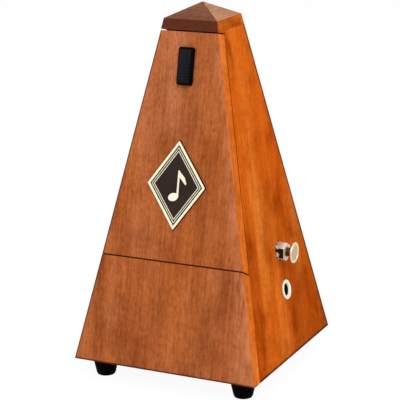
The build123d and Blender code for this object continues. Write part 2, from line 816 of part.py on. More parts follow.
# Plates of the movement, each with a foot screwed to the base board
plate_front = escape_y - 13
plate_back = pillar_spots[2][0] + 3.5
plate_top = escape_z + 14
bar_top = plate_top + 5
plate_outline = [
    (plate_front, base_top),
    (plate_back, base_top),
    (plate_back, pillar_spots[2][1] + 4.5),
    (pull_y + 7.5, plate_top),
    (escape_y + 2, plate_top),
    (escape_y - 2, bar_top),
    (plate_front, bar_top),
]
pull_lug = [
    (pull_y - 7.5, plate_top - 6),
    (pull_y + 7.5, plate_top - 6),
    (pull_y + 5, pull_z + 5),
    (pull_y - 5, pull_z + 5),
]
plate_outer = plate_inside + plate_thickness
train_spots = [(second_y, second_z), (escape_y, escape_z)]


def plate(side):
    """One plate with its foot, pivot holes and screw holes; side is -1 or 1."""
    start = plate_inside if side > 0 else -plate_outer
    with BuildSketch(across(start)) as outline:
        Polygon(*plate_outline, align=None)
        if side > 0:
            Polygon(*pull_lug, align=None)
            with Locations((pull_y, pull_z)):
                Circle(pull_radius + pull_play, mode=Mode.SUBTRACT)
        with Locations((wind_y, wind_z)):
            Circle(wind_radius + bearing_play, mode=Mode.SUBTRACT)
        with Locations(*train_spots):
            Circle(pivot_radius + bearing_play, mode=Mode.SUBTRACT)
        with Locations(*pillar_spots):
            Circle(1.0, mode=Mode.SUBTRACT)
    extrude(outline.sketch, amount=plate_thickness)
    with BuildSketch(Plane.XY.offset(base_top)) as foot:
        with Locations((side * (plate_outer + flange_width / 2), -2.5)):
            Rectangle(flange_width, 50)
        with Locations(*flange_spots):
            Circle(screw_shank_radius, mode=Mode.SUBTRACT)
    extrude(foot.sketch, amount=plate_thickness)


with BuildPart() as left_plate:
    plate(-1)
left_plate.part.label = "left_plate"
export_step(left_plate.part, "parts/left_plate.step")

with BuildPart() as right_plate:
    plate(1)
right_plate.part.label = "right_plate"
export_step(right_plate.part, "parts/right_plate.step")

with BuildPart() as frame_screws:
    with BuildSketch(Plane.XY.offset(foot_height + 1)):
        with Locations(*flange_spots):
            Circle(screw_shank_radius)
    extrude(amount=base_thickness - 1 + plate_thickness)
    with BuildSketch(Plane.XY.offset(base_top + plate_thickness)):
        with Locations(*flange_spots):
            Circle(screw_head_radius)
    extrude(amount=screw_head_height)
frame_screws.part.label = "frame_screws"
export_step(frame_screws.part, "parts/frame_screws.step")

with BuildPart() as plate_pillars:
    for y, z in pillar_spots:
        pin(-plate_inside, y, z, pillar_radius, 2 * plate_inside)
    for y, z in pillar_spots:
        bored(-plate_inside, y, z, 1.0, 6)
        bored(plate_inside - 6, y, z, 1.0, 6)
plate_pillars.part.label = "plate_pillars"
export_step(plate_pillars.part, "parts/plate_pillars.step")

with BuildPart() as plate_screws:
    for y, z in pillar_spots:
        pin(-plate_outer - 1.2, y, z, 2.2, 1.2)
        pin(-plate_outer, y, z, 1.0, 6)
        pin(plate_outer - 6, y, z, 1.0, 6)
        pin(plate_outer, y, z, 2.2, 1.2)
plate_screws.part.label = "plate_screws"
export_step(plate_screws.part, "parts/plate_screws.step")

# Winding arbor with its square end towards the keyhole, and its ratchet
ratchet_left = -plate_outer - ratchet_gap - ratchet_thickness
wind_left = ratchet_left - 1.5
wind_shoulder = face_x(wind_z) - side_thickness / cos(lean) - wind_end_gap - wind_square_length
with BuildPart() as winding_arbor:
    pin(wind_left, wind_y, wind_z, wind_radius, wind_shoulder - wind_left)
    with BuildSketch(across(wind_shoulder, wind_y, wind_z)):
        Rectangle(wind_square, wind_square)
    extrude(amount=wind_square_length)
winding_arbor.part.label = "winding_arbor"
export_step(winding_arbor.part, "parts/winding_arbor.step")

ratchet_corners = star(ratchet_teeth, ratchet_tip, ratchet_root, 0, 0.12)
with BuildPart() as ratchet_wheel:
    wheel(across(ratchet_left, wind_y, wind_z), ratchet_corners, wind_radius, ratchet_thickness)
ratchet_wheel.part.label = "ratchet_wheel"
export_step(ratchet_wheel.part, "parts/ratchet_wheel.step")

# Click spring: a pad on the left plate with a leaf that ends just above the ratchet's teeth
click_spot = (wind_y + ratchet_tip + 4, wind_z + ratchet_tip + 3.4)
click_end = (click_spot[0] + 5, click_spot[1])
click_tip = (wind_y + ratchet_tip * 0.58, wind_z + ratchet_tip * 0.97)
with BuildPart() as click_spring:
    with BuildSketch(across(ratchet_left)):
        Polygon(*strip(click_spot, click_end, 5), align=None)
        Polygon(*strip((click_spot[0] + 1, click_spot[1] - 1), click_tip, 0.7), align=None)
    extrude(amount=ratchet_thickness)
    with BuildSketch(across(ratchet_left)):
        Polygon(*strip(click_spot, click_end, 5), align=None)
    extrude(amount=ratchet_thickness + ratchet_gap)
click_spring.part.label = "click_spring"
export_step(click_spring.part, "parts/click_spring.step")

# Barrel: drum, great wheel at its right end, cover at its left end, mainspring inside
with BuildPart() as barrel_drum:
    pin(barrel_left, wind_y, wind_z, barrel_radius, barrel_right - barrel_left)
    bored(barrel_left, wind_y, wind_z, barrel_radius - barrel_wall, barrel_right - barrel_left)
barrel_drum.part.label = "barrel_drum"
export_step(barrel_drum.part, "parts/barrel_drum.step")

with BuildPart() as great_wheel:
    wheel(
        across(barrel_right, wind_y, wind_z),
        gear(great_teeth, great_module, great_turn),
        wind_radius + bearing_play,
        wheel_thickness,
    )
great_wheel.part.label = "great_wheel"
export_step(great_wheel.part, "parts/great_wheel.step")

with BuildPart() as barrel_cover:
    pin(barrel_left, wind_y, wind_z, barrel_radius - barrel_wall, barrel_wall)
    bored(barrel_left, wind_y, wind_z, wind_radius + bearing_play, barrel_wall)
barrel_cover.part.label = "barrel_cover"
export_step(barrel_cover.part, "parts/barrel_cover.step")

with BuildPart() as mainspring:
    with BuildSketch(across(barrel_left + barrel_wall + 0.5, wind_y, wind_z)):
        with BuildLine():
            last = spring_inner + spring_turns * spring_pitch
            for radius_extra in (0.0, spring_strip):
                for i in range(spring_turns):
                    upper = spring_inner + i * spring_pitch + radius_extra
                    CenterArc((0, 0), upper, 0, 180)
                    CenterArc((spring_pitch / 2, 0), upper + spring_pitch / 2, 180, 180)
            Line((spring_inner, 0), (spring_inner + spring_strip, 0))
            Line((last, 0), (last + spring_strip, 0))
        make_face()
    extrude(amount=barrel_right - barrel_left - barrel_wall - 1.0)
mainspring.part.label = "mainspring"
export_step(mainspring.part, "parts/mainspring.step")


def pivoted(y, z):
    """A plain arbor between the plates with thinner pivots in their holes."""
    pin(-plate_inside + 0.2, y, z, arbor_thick, 2 * plate_inside - 0.4)
    pin(-plate_outer, y, z, pivot_radius, 2 * plate_outer)


# Second arbor with the pinion the great wheel drives, and its wheel
with BuildPart() as second_arbor:
    pivoted(second_y, second_z)
    wheel(
        across(barrel_right - 0.5, second_y, second_z),
        gear(pinion_teeth, great_module, great_turn + 180 + half_pinion),
        0,
        wheel_thickness + 1,
    )
second_arbor.part.label = "second_arbor"
export_step(second_arbor.part, "parts/second_arbor.step")

with BuildPart() as second_wheel:
    wheel(
        across(second_wheel_x, second_y, second_z),
        gear(second_teeth, second_module, second_turn),
        arbor_thick,
        wheel_thickness,
    )
second_wheel.part.label = "second_wheel"
export_step(second_wheel.part, "parts/second_wheel.step")

# Escape arbor with its pinion, the escape wheel under the pallets and the beat cams
with BuildPart() as escape_arbor:
    pivoted(escape_y, escape_z)
    wheel(
        across(second_wheel_x - 0.5, escape_y, escape_z),
        gear(pinion_teeth, second_module, second_turn + 180 + half_pinion),
        0,
        wheel_thickness + 1,
    )
escape_arbor.part.label = "escape_arbor"
export_step(escape_arbor.part, "parts/escape_arbor.step")

with BuildPart() as escape_wheel:
    wheel(
        across(-escape_thickness / 2, escape_y, escape_z),
        star(escape_teeth, escape_tip, escape_root, 0, 0.25),
        arbor_thick,
        escape_thickness,
    )
escape_wheel.part.label = "escape_wheel"
export_step(escape_wheel.part, "parts/escape_wheel.step")

with BuildPart() as beat_cams:
    pin(cam_first - 1, escape_y, escape_z, cam_root - 1.2, 3 * cam_pitch + 2)
    for i, lobes in enumerate((12, 8, 6, 4)):
        corners = star(lobes, cam_tip, cam_root if lobes > 4 else cam_root - 0.3, 0, 0.5)
        wheel(across(cam_first - 1 + i * cam_pitch, escape_y, escape_z), corners, 0, 2)
    bored(cam_first - 1, escape_y, escape_z, arbor_thick, 3 * cam_pitch + 2)
beat_cams.part.label = "beat_cams"
export_step(beat_cams.part, "parts/beat_cams.step")

# Bell pull: rod, knob and the collars that carry the hammer along
with BuildPart() as pull_rod:
    pin(pull_end, pull_y, pull_z, pull_radius, knob_left + knob_seat - pull_end)
pull_rod.part.label = "pull_rod"
export_step(pull_rod.part, "parts/pull_rod.step")

with BuildPart() as pull_knob:
    pin(knob_left, pull_y, pull_z, knob_radius, knob_right - knob_left)
    fillet(pull_knob.edges().filter_by(GeomType.CIRCLE), knob_rounding)
    bored(knob_left, pull_y, pull_z, pull_radius, knob_seat)
pull_knob.part.label = "pull_knob"
export_step(pull_knob.part, "parts/pull_knob.step")

with BuildPart() as pull_collars:
    collar_gap = hammer_hub_length / 2 + 0.15
    for start in (hammer_x - collar_gap - collar_thickness, hammer_x + collar_gap):
        pin(start, pull_y, pull_z, hammer_hub, collar_thickness)
        bored(start, pull_y, pull_z, pull_radius, collar_thickness)
pull_collars.part.label = "pull_collars"
export_step(pull_collars.part, "parts/pull_collars.step")

# Hammer on the pull rod: a follower arm to the cams and a hanging arm with the head
head_y = bell_y - bell_radius - bell_gap - head_length / 2
head_z = bell_rim + 6
elbow = (escape_y + 8, pull_z - 1)
follower_tip = (escape_y + follower_gap, escape_z + cam_tip + follower_gap)
with BuildPart() as hammer_arm_part:
    with BuildSketch(across(hammer_x - hammer_thickness / 2)):
        Polygon(*strip((pull_y, pull_z), elbow, hammer_arm), align=None)
        Polygon(*strip((elbow[0] + 0.5, elbow[1] + 1.2), follower_tip, hammer_arm), align=None)
        Polygon(*strip((pull_y, pull_z), (head_y, head_z), hammer_arm), align=None)
    extrude(amount=hammer_thickness)
    pin(hammer_x - hammer_hub_length / 2, pull_y, pull_z, hammer_hub, hammer_hub_length)
    bored(hammer_x - hammer_hub_length / 2, pull_y, pull_z, pull_radius + pull_play, hammer_hub_length)
hammer_arm_part.part.label = "hammer_arm"
export_step(hammer_arm_part.part, "parts/hammer_arm.step")

with BuildPart() as hammer_head:
    with BuildSketch(Plane(origin=(hammer_x, head_y - head_length / 2, head_z), z_dir=(0, 1, 0))):
        Circle(head_radius)
    extrude(amount=head_length)
    with BuildSketch(across(hammer_x - hammer_thickness / 2)) as arm_slot:
        Polygon(*strip((pull_y, pull_z), (head_y, head_z), hammer_arm), align=None)
    extrude(arm_slot.sketch, amount=hammer_thickness, mode=Mode.SUBTRACT)
hammer_head.part.label = "hammer_head"
export_step(hammer_head.part, "parts/hammer_head.step")

# Bell on its post
bell_top = bell_rim + bell_radius
with BuildPart() as bell:
    with BuildSketch(Plane(origin=(bell_x, bell_y, bell_rim), x_dir=(1, 0, 0), z_dir=(0, -1, 0))):
        with BuildLine():
            CenterArc((0, 0), bell_radius, 0, 90)
            CenterArc((0, 0), bell_radius - bell_wall, 0, 90)
            Line((bell_radius, 0), (bell_radius - bell_wall, 0))
            Line((0, bell_radius), (0, bell_radius - bell_wall))
        make_face()
    revolve(axis=Axis((bell_x, bell_y, 0), (0, 0, 1)), revolution_arc=360)
    with BuildSketch(Plane(origin=(bell_x, bell_y, bell_rim))) as stud_hole:
        Circle(stud_radius)
    extrude(stud_hole.sketch, amount=bell_radius + 1, mode=Mode.SUBTRACT)
bell.part.label = "bell"
export_step(bell.part, "parts/bell.step")

with BuildPart() as bell_post:
    with BuildSketch(Plane(origin=(bell_x, bell_y, base_top))):
        Circle(5)
    extrude(amount=2)
    with BuildSketch(Plane(origin=(bell_x, bell_y, base_top))):
        Circle(post_radius)
    extrude(amount=bell_top - bell_wall - 0.2 - base_top)
    with BuildSketch(Plane(origin=(bell_x, bell_y, base_top))):
        Circle(stud_radius)
    extrude(amount=bell_top + 2.5 - base_top)
bell_post.part.label = "bell_post"
export_step(bell_post.part, "parts/bell_post.step")

with BuildPart() as bell_nut:
    with BuildSketch(Plane(origin=(bell_x, bell_y, bell_top - 0.05))):
        RegularPolygon(3, 6)
        Circle(stud_radius, mode=Mode.SUBTRACT)
    extrude(amount=2.2)
bell_nut.part.label = "bell_nut"
export_step(bell_nut.part, "parts/bell_nut.step")
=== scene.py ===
"""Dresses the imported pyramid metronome: eased boards, stained wood, fittings, tempo scale and studio."""

import logging
import math
from collections.abc import Callable
from dataclasses import dataclass, field
from enum import Enum

import bmesh
import bpy
from mathutils import Matrix, Vector


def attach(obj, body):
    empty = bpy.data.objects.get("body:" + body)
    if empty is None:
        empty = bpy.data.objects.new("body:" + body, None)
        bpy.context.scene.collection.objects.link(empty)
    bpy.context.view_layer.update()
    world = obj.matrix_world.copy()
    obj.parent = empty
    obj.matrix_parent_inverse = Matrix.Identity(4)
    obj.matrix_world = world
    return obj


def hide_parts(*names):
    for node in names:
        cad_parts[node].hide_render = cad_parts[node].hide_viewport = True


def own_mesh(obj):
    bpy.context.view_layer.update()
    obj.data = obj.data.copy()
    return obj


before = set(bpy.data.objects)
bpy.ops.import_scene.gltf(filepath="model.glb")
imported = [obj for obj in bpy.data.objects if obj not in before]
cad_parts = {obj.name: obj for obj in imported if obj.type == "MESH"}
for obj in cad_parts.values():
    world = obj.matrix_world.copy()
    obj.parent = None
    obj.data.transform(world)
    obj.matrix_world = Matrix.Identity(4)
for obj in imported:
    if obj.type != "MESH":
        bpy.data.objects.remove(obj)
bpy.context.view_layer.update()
MM = 0.001
MERGE = 0.005 * MM
FLAT_ANGLE = math.radians(0.5)
SHARP_ANGLE = math.radians(25)
SMOOTH_ANGLE = math.radians(38)
FACING = 0.9  # a face looks a way when its normal has more than this share of it
NOISE_RANGE = (0.25, 0.75)  # most values of a noise lie in here
BUMP_DEPTH = 0.0001
WHITE = (1.0, 1.0, 1.0)
log = logging.getLogger("metronome")

Pair = tuple[float, float]
Triple = tuple[float, float, float]
Tint = tuple[float, float, float, float]
Profile = tuple[Pair, ...]
Socket = bpy.types.NodeSocket
Value = float | Socket
Mesh = bmesh.types.BMesh
MeshFace = bmesh.types.BMFace
MeshVert = bmesh.types.BMVert


class Face(Enum):
    """The outside faces of the case that carry fittings, by the turn from the front in radians."""

    FRONT = 0.0
    RIGHT = math.pi / 2


@dataclass(frozen=True)
class CaseSizes:
    """Sizes of the case that place the dressing, in metres."""

    base: float = 117.5 * MM
    top: float = 36.7 * MM
    shell: float = 195.0 * MM
    foot: float = 12.4 * MM
    split_height: float = 72.6 * MM
    split_slant: float = 64.55 * MM
    split_fall: float = math.radians(26.8)

    @property
    def lean(self) -> float:
        """Angle by which each face leans inwards, in radians."""
        return math.atan((self.base - self.top) / 2 / self.shell)

    @property
    def turned_foot(self) -> float:
        """Height of a face's lower edge once its slope is turned upright, in metres."""
        return self.foot * math.cos(self.lean) - self.base / 2 * math.sin(self.lean)


CASE = CaseSizes()


def face_frame(face: Face, depth: float = 0.0) -> Matrix:
    """Frame of an outside face: x across it, y up its slope, z out of it.

    Args:
        face: Which face of the case.
        depth: How far the frame is moved inwards, in metres.

    Returns:
        The matrix from that frame to the scene.
    """
    turn = Matrix.Rotation(face.value, 4, "Z")
    foot = Matrix.Translation((0, -CASE.base / 2, CASE.foot))
    slope = Matrix.Rotation(math.pi / 2 - CASE.lean, 4, "X")
    return turn @ foot @ slope @ Matrix.Translation((0, 0, -depth))


def slope_at(height: float) -> float:
    """Distance up a face's slope at a height above the table, in metres."""
    return (height - CASE.foot) / math.cos(CASE.lean)


class Tree:
    """A thin wrapper round a material's or world's node tree."""

    def __init__(self, owner: bpy.types.ID) -> None:
        """Empty the owner's node tree and keep it.

        Args:
            owner: The material or world.
        """
        owner.use_nodes = True
        self.nodes = owner.node_tree.nodes
        self.links = owner.node_tree.links
        self.nodes.clear()

    def add(self, kind: str, inputs: dict | None = None, **settings: object) -> bpy.types.Node:
        """Add a node.

        Args:
            kind: The node's type, without the ShaderNode prefix.
            inputs: Values or sockets, by input name or number.
            settings: Attributes of the node itself.

        Returns:
            The new node.
        """
        node = self.nodes.new("ShaderNode" + kind)
        for name, value in settings.items():
            setattr(node, name, value)
        for key, value in (inputs or {}).items():
            if isinstance(value, Socket):
                self.links.new(value, node.inputs[key])
            else:
                node.inputs[key].default_value = value
        return node

    def noise(
        self, vector: Socket, scale: Triple, detail: float = 3.0, rough: float = 0.5, shift: float = 0.0
    ) -> Socket:
        """Noise on a stretched copy of a vector.

        Args:
            vector: The place on the piece.
            scale: Repeats per metre along x, y and z.
            detail: Octaves of the noise.
            rough: How strong the finer octaves are.
            shift: Moves the pattern, so that two boards differ.

        Returns:
            The noise's value socket.
        """
        stretched = self.add("Mapping", {"Vector": vector, "Scale": scale, "Location": (shift, shift, shift)})
        inputs = {"Vector": stretched.outputs[0], "Scale": 1.0, "Detail": detail, "Roughness": rough}
        return self.add("TexNoise", inputs).outputs["Fac"]

    def ramp(self, fac: Socket, *stops: tuple[float, Triple]) -> Socket:
        """Colour ramp over a value.

        Args:
            fac: The value to read.
            stops: Pairs of position and colour, from low to high.

        Returns:
            The ramp's colour socket.
        """
        node = self.add("ValToRGB", {"Fac": fac})
        points = node.color_ramp.elements
        while len(points) < len(stops):
            points.new(0.5)
        for point, (position, colour) in zip(points, stops):
            point.position = position
            point.color = (*colour, 1.0)
        return node.outputs["Color"]

    def spread(self, value: Socket, low: float, high: float, to_low: float = 0.0, to_high: float = 1.0) -> Socket:
        """Map a range of values smoothly onto another, held at its ends."""
        inputs = {"Value": value, "From Min": low, "From Max": high, "To Min": to_low, "To Max": to_high}
        return self.add("MapRange", inputs, interpolation_type="SMOOTHSTEP").outputs[0]

    def sum(self, kind: str, first: Value, second: Value) -> Socket:
        """Join two values with a Math node of the given kind."""
        return self.add("Math", {0: first, 1: second}, operation=kind).outputs[0]

    def mix(self, kind: str, amount: Value, colour: Socket, other: Socket | Tint) -> Socket:
        """Mix two colours in the given way, as far as amount says."""
        inputs = {0: amount, 6: colour, 7: other}
        return self.add("Mix", inputs, data_type="RGBA", blend_type=kind).outputs[2]

    def bump(self, height: Socket, strength: float) -> Socket:
        """Normal of a shallow bump."""
        return self.add("Bump", {"Height": height, "Strength": strength, "Distance": BUMP_DEPTH}).outputs[0]

    def surface(self, shader: Socket, kind: str = "OutputMaterial") -> None:
        """Join a shader to the tree's output."""
        self.add(kind, {"Surface": shader})


@dataclass(frozen=True)
class Layer:
    """One layer of a wood's colour: a noise and the tints it is read as."""

    scale: Triple
    stops: tuple[tuple[float, Triple], ...]
    detail: float = 4.0
    rough: float = 0.5
    shift: float = 0.0

    def lay(self, tree: Tree, vector: Socket, shift: float) -> tuple[Socket, Socket]:
        """Add the layer's nodes, shifted as the board asks, and give its noise and its tint."""
        noise = tree.noise(vector, self.scale, self.detail, self.rough, shift + self.shift)
        return noise, tree.ramp(noise, *self.stops)


@dataclass(frozen=True)
class Patch:
    """A ragged patch that changes the colour along an edge of a board, with its extents in metres."""

    reach: Pair
    scale: Triple
    edge: Pair
    tint: Tint
    shift: float
    rise: Pair | None = None
    least: float = 0.0
    detail: float = 4.0
    rough: float = 0.6
    kind: str = "MULTIPLY"

    def lay(self, tree: Tree, vector: Socket, places: tuple[Socket, Socket], amount: float, colour: Socket) -> Socket:
        """Mix the patch into a colour.

        Args:
            tree: The material's tree.
            vector: The turned place on the board.
            places: The distance that its reach is read on, and the height on the board.
            amount: How strong the patch is.
            colour: The colour so far.

        Returns:
            The new colour.
        """
        share = tree.spread(places[0], *self.reach)
        if self.rise:
            share = tree.sum("MULTIPLY", share, tree.spread(places[1], *self.rise))
        noise = tree.noise(vector, self.scale, self.detail, self.rough, self.shift)
        share = tree.sum("MULTIPLY", share, tree.spread(noise, *self.edge, self.least, 1.0))
        return tree.mix(self.kind, tree.sum("MULTIPLY", share, amount), colour, self.tint)


STREAKS = Layer(
    (620, 620, 26), ((0.3, (0.66, 0.58, 0.5)), (0.5, WHITE), (0.7, (1.16, 1.18, 1.22))), detail=5.0, rough=0.68
)
FLECKS = Layer(
    (760, 760, 360), ((0.34, (0.74, 0.68, 0.6)), (0.5, WHITE), (0.66, (1.2, 1.24, 1.32))), rough=0.65, shift=4.0
)
RIPPLE = Layer((120, 120, 330), ((0.3, (0.9, 0.88, 0.85)), (0.6, (1.04, 1.04, 1.04))), detail=2.0)
PORES = Layer((1700, 1700, 110), ((0.3, (0.6, 0.5, 0.42)), (0.39, WHITE)), detail=2.0)
TONE = Layer((30, 30, 16), ((0.35, (1.02, 0.95, 0.78)), (0.65, (0.99, 1.05, 1.24))), detail=3.0, shift=2.0)
# Lighter ragged patches along the front's right edge.
PALE_EDGE_PATCH = Patch(
    reach=(10 * MM, 0.5 * MM), scale=(230, 230, 48), edge=(0.42, 0.6), tint=(0.63, 0.225, 0.092, 1.0), shift=3.1,
    detail=5.0, rough=0.65, kind="MIX",
)
# Darker ragged patches low on a side board: at the back, and along the front edge.
FAR_LOW_PATCH = Patch(
    reach=(-30 * MM, 36 * MM), rise=(150 * MM, 35 * MM), scale=(38, 38, 30), edge=(0.3, 0.62), least=0.4,
    tint=(0.50, 0.37, 0.12, 1.0), shift=1.7,
)
FORE_LOW_PATCH = Patch(
    reach=(27 * MM, 15 * MM), rise=(105 * MM, 58 * MM), scale=(70, 70, 34), edge=(0.32, 0.55), least=0.55,
    tint=(0.62, 0.48, 0.2, 1.0), shift=6.2,
)
# Painted shade: a dark line along the outer edge and the foot of a board.
RIM_SHADE_WIDTH = (1.4 * MM, 0.6 * MM)
RIM_SHADE_TINT = (0.22, 0.16, 0.13, 1.0)


@dataclass(frozen=True)
class WoodFinish:
    """Stained, varnished wood with its grain up the slope of one face."""

    name: str
    dark: Triple
    middle: Triple
    light: Triple
    turn: Triple = (0.0, 0.0, 0.0)
    slant: Triple = (0.0, 0.0, 0.0)
    shift: float = 0.0
    bands: Triple = (95.0, 95.0, 6.0)
    cloud_size: Triple = (55.0, 55.0, 30.0)
    clouds: float = 0.5
    cloud_tint: Triple = (0.68, 0.58, 0.48)
    grain: float = 0.75
    mottle: float = 0.7
    ripple: float = 0.7
    pores: float = 0.65
    pore_bump: float = 0.12
    rough: float = 0.42
    rough_steps: Pair = (0.08, -0.06)
    gloss: float = 0.1
    gloss_tint: Tint = (1.0, 0.66, 0.36, 1.0)
    across: int = 0
    rim: int = 0
    rim_squeeze: float = 1.0
    foot_squeeze: float = 1.0
    wear: float = 0.0
    low_shade: float = 0.0

    def shade(self, tree: Tree, place: Socket) -> dict[str, object]:
        """Lay bands, streaks, flecks, clouds, cross ripple, open pores and changes of hue, then add the painted edge
        shade and the ragged patches.

        Args:
            tree: The material's tree.
            place: The place on the piece.

        Returns:
            The shader's inputs.
        """
        face = tree.add("Mapping", {"Vector": place, "Rotation": self.turn}).outputs[0]
        vector = tree.add("Mapping", {"Vector": face, "Rotation": self.slant}).outputs[0]
        body = Layer(self.bands, ((0.3, self.dark), (0.5, self.middle), (0.7, self.light)), rough=0.6)
        stain = ((0.33, self.cloud_tint), (0.5, WHITE), (0.68, (1.1, 1.12, 1.16)))
        shares = {
            STREAKS: self.grain,
            FLECKS: self.mottle,
            Layer(self.cloud_size, stain, rough=0.55): self.clouds,
            RIPPLE: self.ripple,
            PORES: self.pores,
            TONE: 1.0,
        }
        laid = {layer: layer.lay(tree, vector, self.shift) for layer in (body, *shares)}
        colour = laid[body][1]
        for layer, share in shares.items():
            colour = tree.mix("MULTIPLY", share, colour, laid[layer][1])
        dull, bright = self.rough_steps
        return {
            "Base Color": self.aged(tree, face, colour),
            "Roughness": tree.spread(laid[STREAKS][0], *NOISE_RANGE, self.rough + dull, self.rough + bright),
            "Normal": tree.bump(laid[PORES][1], self.pore_bump),
            "Specular IOR Level": self.gloss,
            "Specular Tint": self.gloss_tint,
        }

    def aged(self, tree: Tree, vector: Socket, colour: Socket) -> Socket:
        """Paint shade as a dark line along the outer edges, lighten the front in ragged patches near its right edge,
        and darken a side in ragged patches low down.

        Args:
            tree: The material's tree.
            vector: The turned place on the board.
            colour: The colour so far.

        Returns:
            The colour with the painted shade and the patches.
        """
        split = tree.add("SeparateXYZ", {0: vector}).outputs
        across = split[self.across]
        rise = tree.sum("SUBTRACT", split[2], CASE.turned_foot)
        half = tree.sum("SUBTRACT", CASE.base / 2, tree.sum("MULTIPLY", rise, math.sin(CASE.lean)))
        # Painted shade along the outer edge and the foot.
        if self.rim:
            inside = tree.sum("SUBTRACT", half, tree.sum("MULTIPLY", across, self.rim))
            inside = tree.sum("MULTIPLY", inside, self.rim_squeeze)
            above = tree.sum("MULTIPLY", rise, self.foot_squeeze)
            amount = tree.spread(tree.sum("MINIMUM", inside, above), *RIM_SHADE_WIDTH)
            colour = tree.mix("MULTIPLY", amount, colour, RIM_SHADE_TINT)
        if self.wear:
            colour = PALE_EDGE_PATCH.lay(tree, vector, (tree.sum("SUBTRACT", half, across), rise), self.wear, colour)
        if self.low_shade:
            colour = FAR_LOW_PATCH.lay(tree, vector, (across, rise), self.low_shade, colour)
            colour = FORE_LOW_PATCH.lay(tree, vector, (tree.sum("ADD", half, across), rise), 1.0, colour)
        return colour


@dataclass(frozen=True)
class SkinFinish:
    """Moulded plastic, rubber, ink or enamel with a fine skin and soft clouds."""

    name: str
    colour: Triple
    rough: float = 0.45
    rough_range: Pair = (0.85, 1.15)
    stretch: Triple = (1400.0, 1400.0, 1400.0)
    octaves: Pair = (3.0, 0.5)
    bump: float = 0.08
    marks: float = 0.2
    blots: float = 90.0
    blot_edge: Pair = (0.3, 0.65)
    shift: float = 0.0
    gloss: float = 0.3
    metallic: float = 0.0

    def shade(self, tree: Tree, place: Socket) -> dict[str, object]:
        """Add the fine skin and the clouds.

        Args:
            tree: The material's tree.
            place: The place on the piece.

        Returns:
            The shader's inputs.
        """
        fine = tree.noise(place, self.stretch, *self.octaves)
        cloudy = tree.noise(place, (self.blots,) * 3, shift=self.shift)
        dull = tuple(channel * (1 - self.marks) for channel in self.colour)
        roughness = (self.rough * factor for factor in self.rough_range)
        return {
            "Base Color": tree.ramp(cloudy, *zip(self.blot_edge, (dull, self.colour))),
            "Metallic": self.metallic,
            "Roughness": tree.spread(fine, *NOISE_RANGE, *roughness),
            "Normal": tree.bump(fine, self.bump),
            "Specular IOR Level": self.gloss,
        }


@dataclass(frozen=True)
class MetalFinish(SkinFinish):
    """Plated or brushed metal with fine marks and dull blots."""

    rough: float = 0.25
    rough_range: Pair = (0.75, 1.35)
    stretch: Triple = (900.0, 900.0, 900.0)
    octaves: Pair = (4.0, 0.6)
    bump: float = 0.02
    marks: float = 0.3
    blots: float = 120.0
    blot_edge: Pair = (0.3, 0.62)
    gloss: float = 0.5
    metallic: float = 1.0


FRONT_TURN = (CASE.lean, 0.0, 0.0)
BACK_TURN = (-CASE.lean, 0.0, 0.0)
RIGHT_TURN = (0.0, CASE.lean, 0.0)
LEFT_TURN = (0.0, -CASE.lean, 0.0)
ALONG_Y = (math.pi / 2, 0.0, 0.0)
ALONG_X = (0.0, math.pi / 2, 0.0)
RED_BROWN = ((0.329, 0.081, 0.0198), (0.400, 0.107, 0.0295), (0.476, 0.141, 0.0455))
ORANGE = ((0.545, 0.088, 0.003), (0.625, 0.124, 0.008), (0.71, 0.185, 0.022))
SIDE_STAIN = {
    "bands": (60.0, 60.0, 7.0),
    "cloud_size": (46.0, 46.0, 34.0),
    "clouds": 1.0,
    "cloud_tint": (0.66, 0.54, 0.3),
    "grain": 0.42,
    "mottle": 0.5,
    "slant": (0.2, 0.0, 0.0),
    "rim_squeeze": 0.55,
    "foot_squeeze": 0.72,
    "gloss": 0.002,
}
CAP_STAIN = {"clouds": 0.4, "gloss": 0.06}


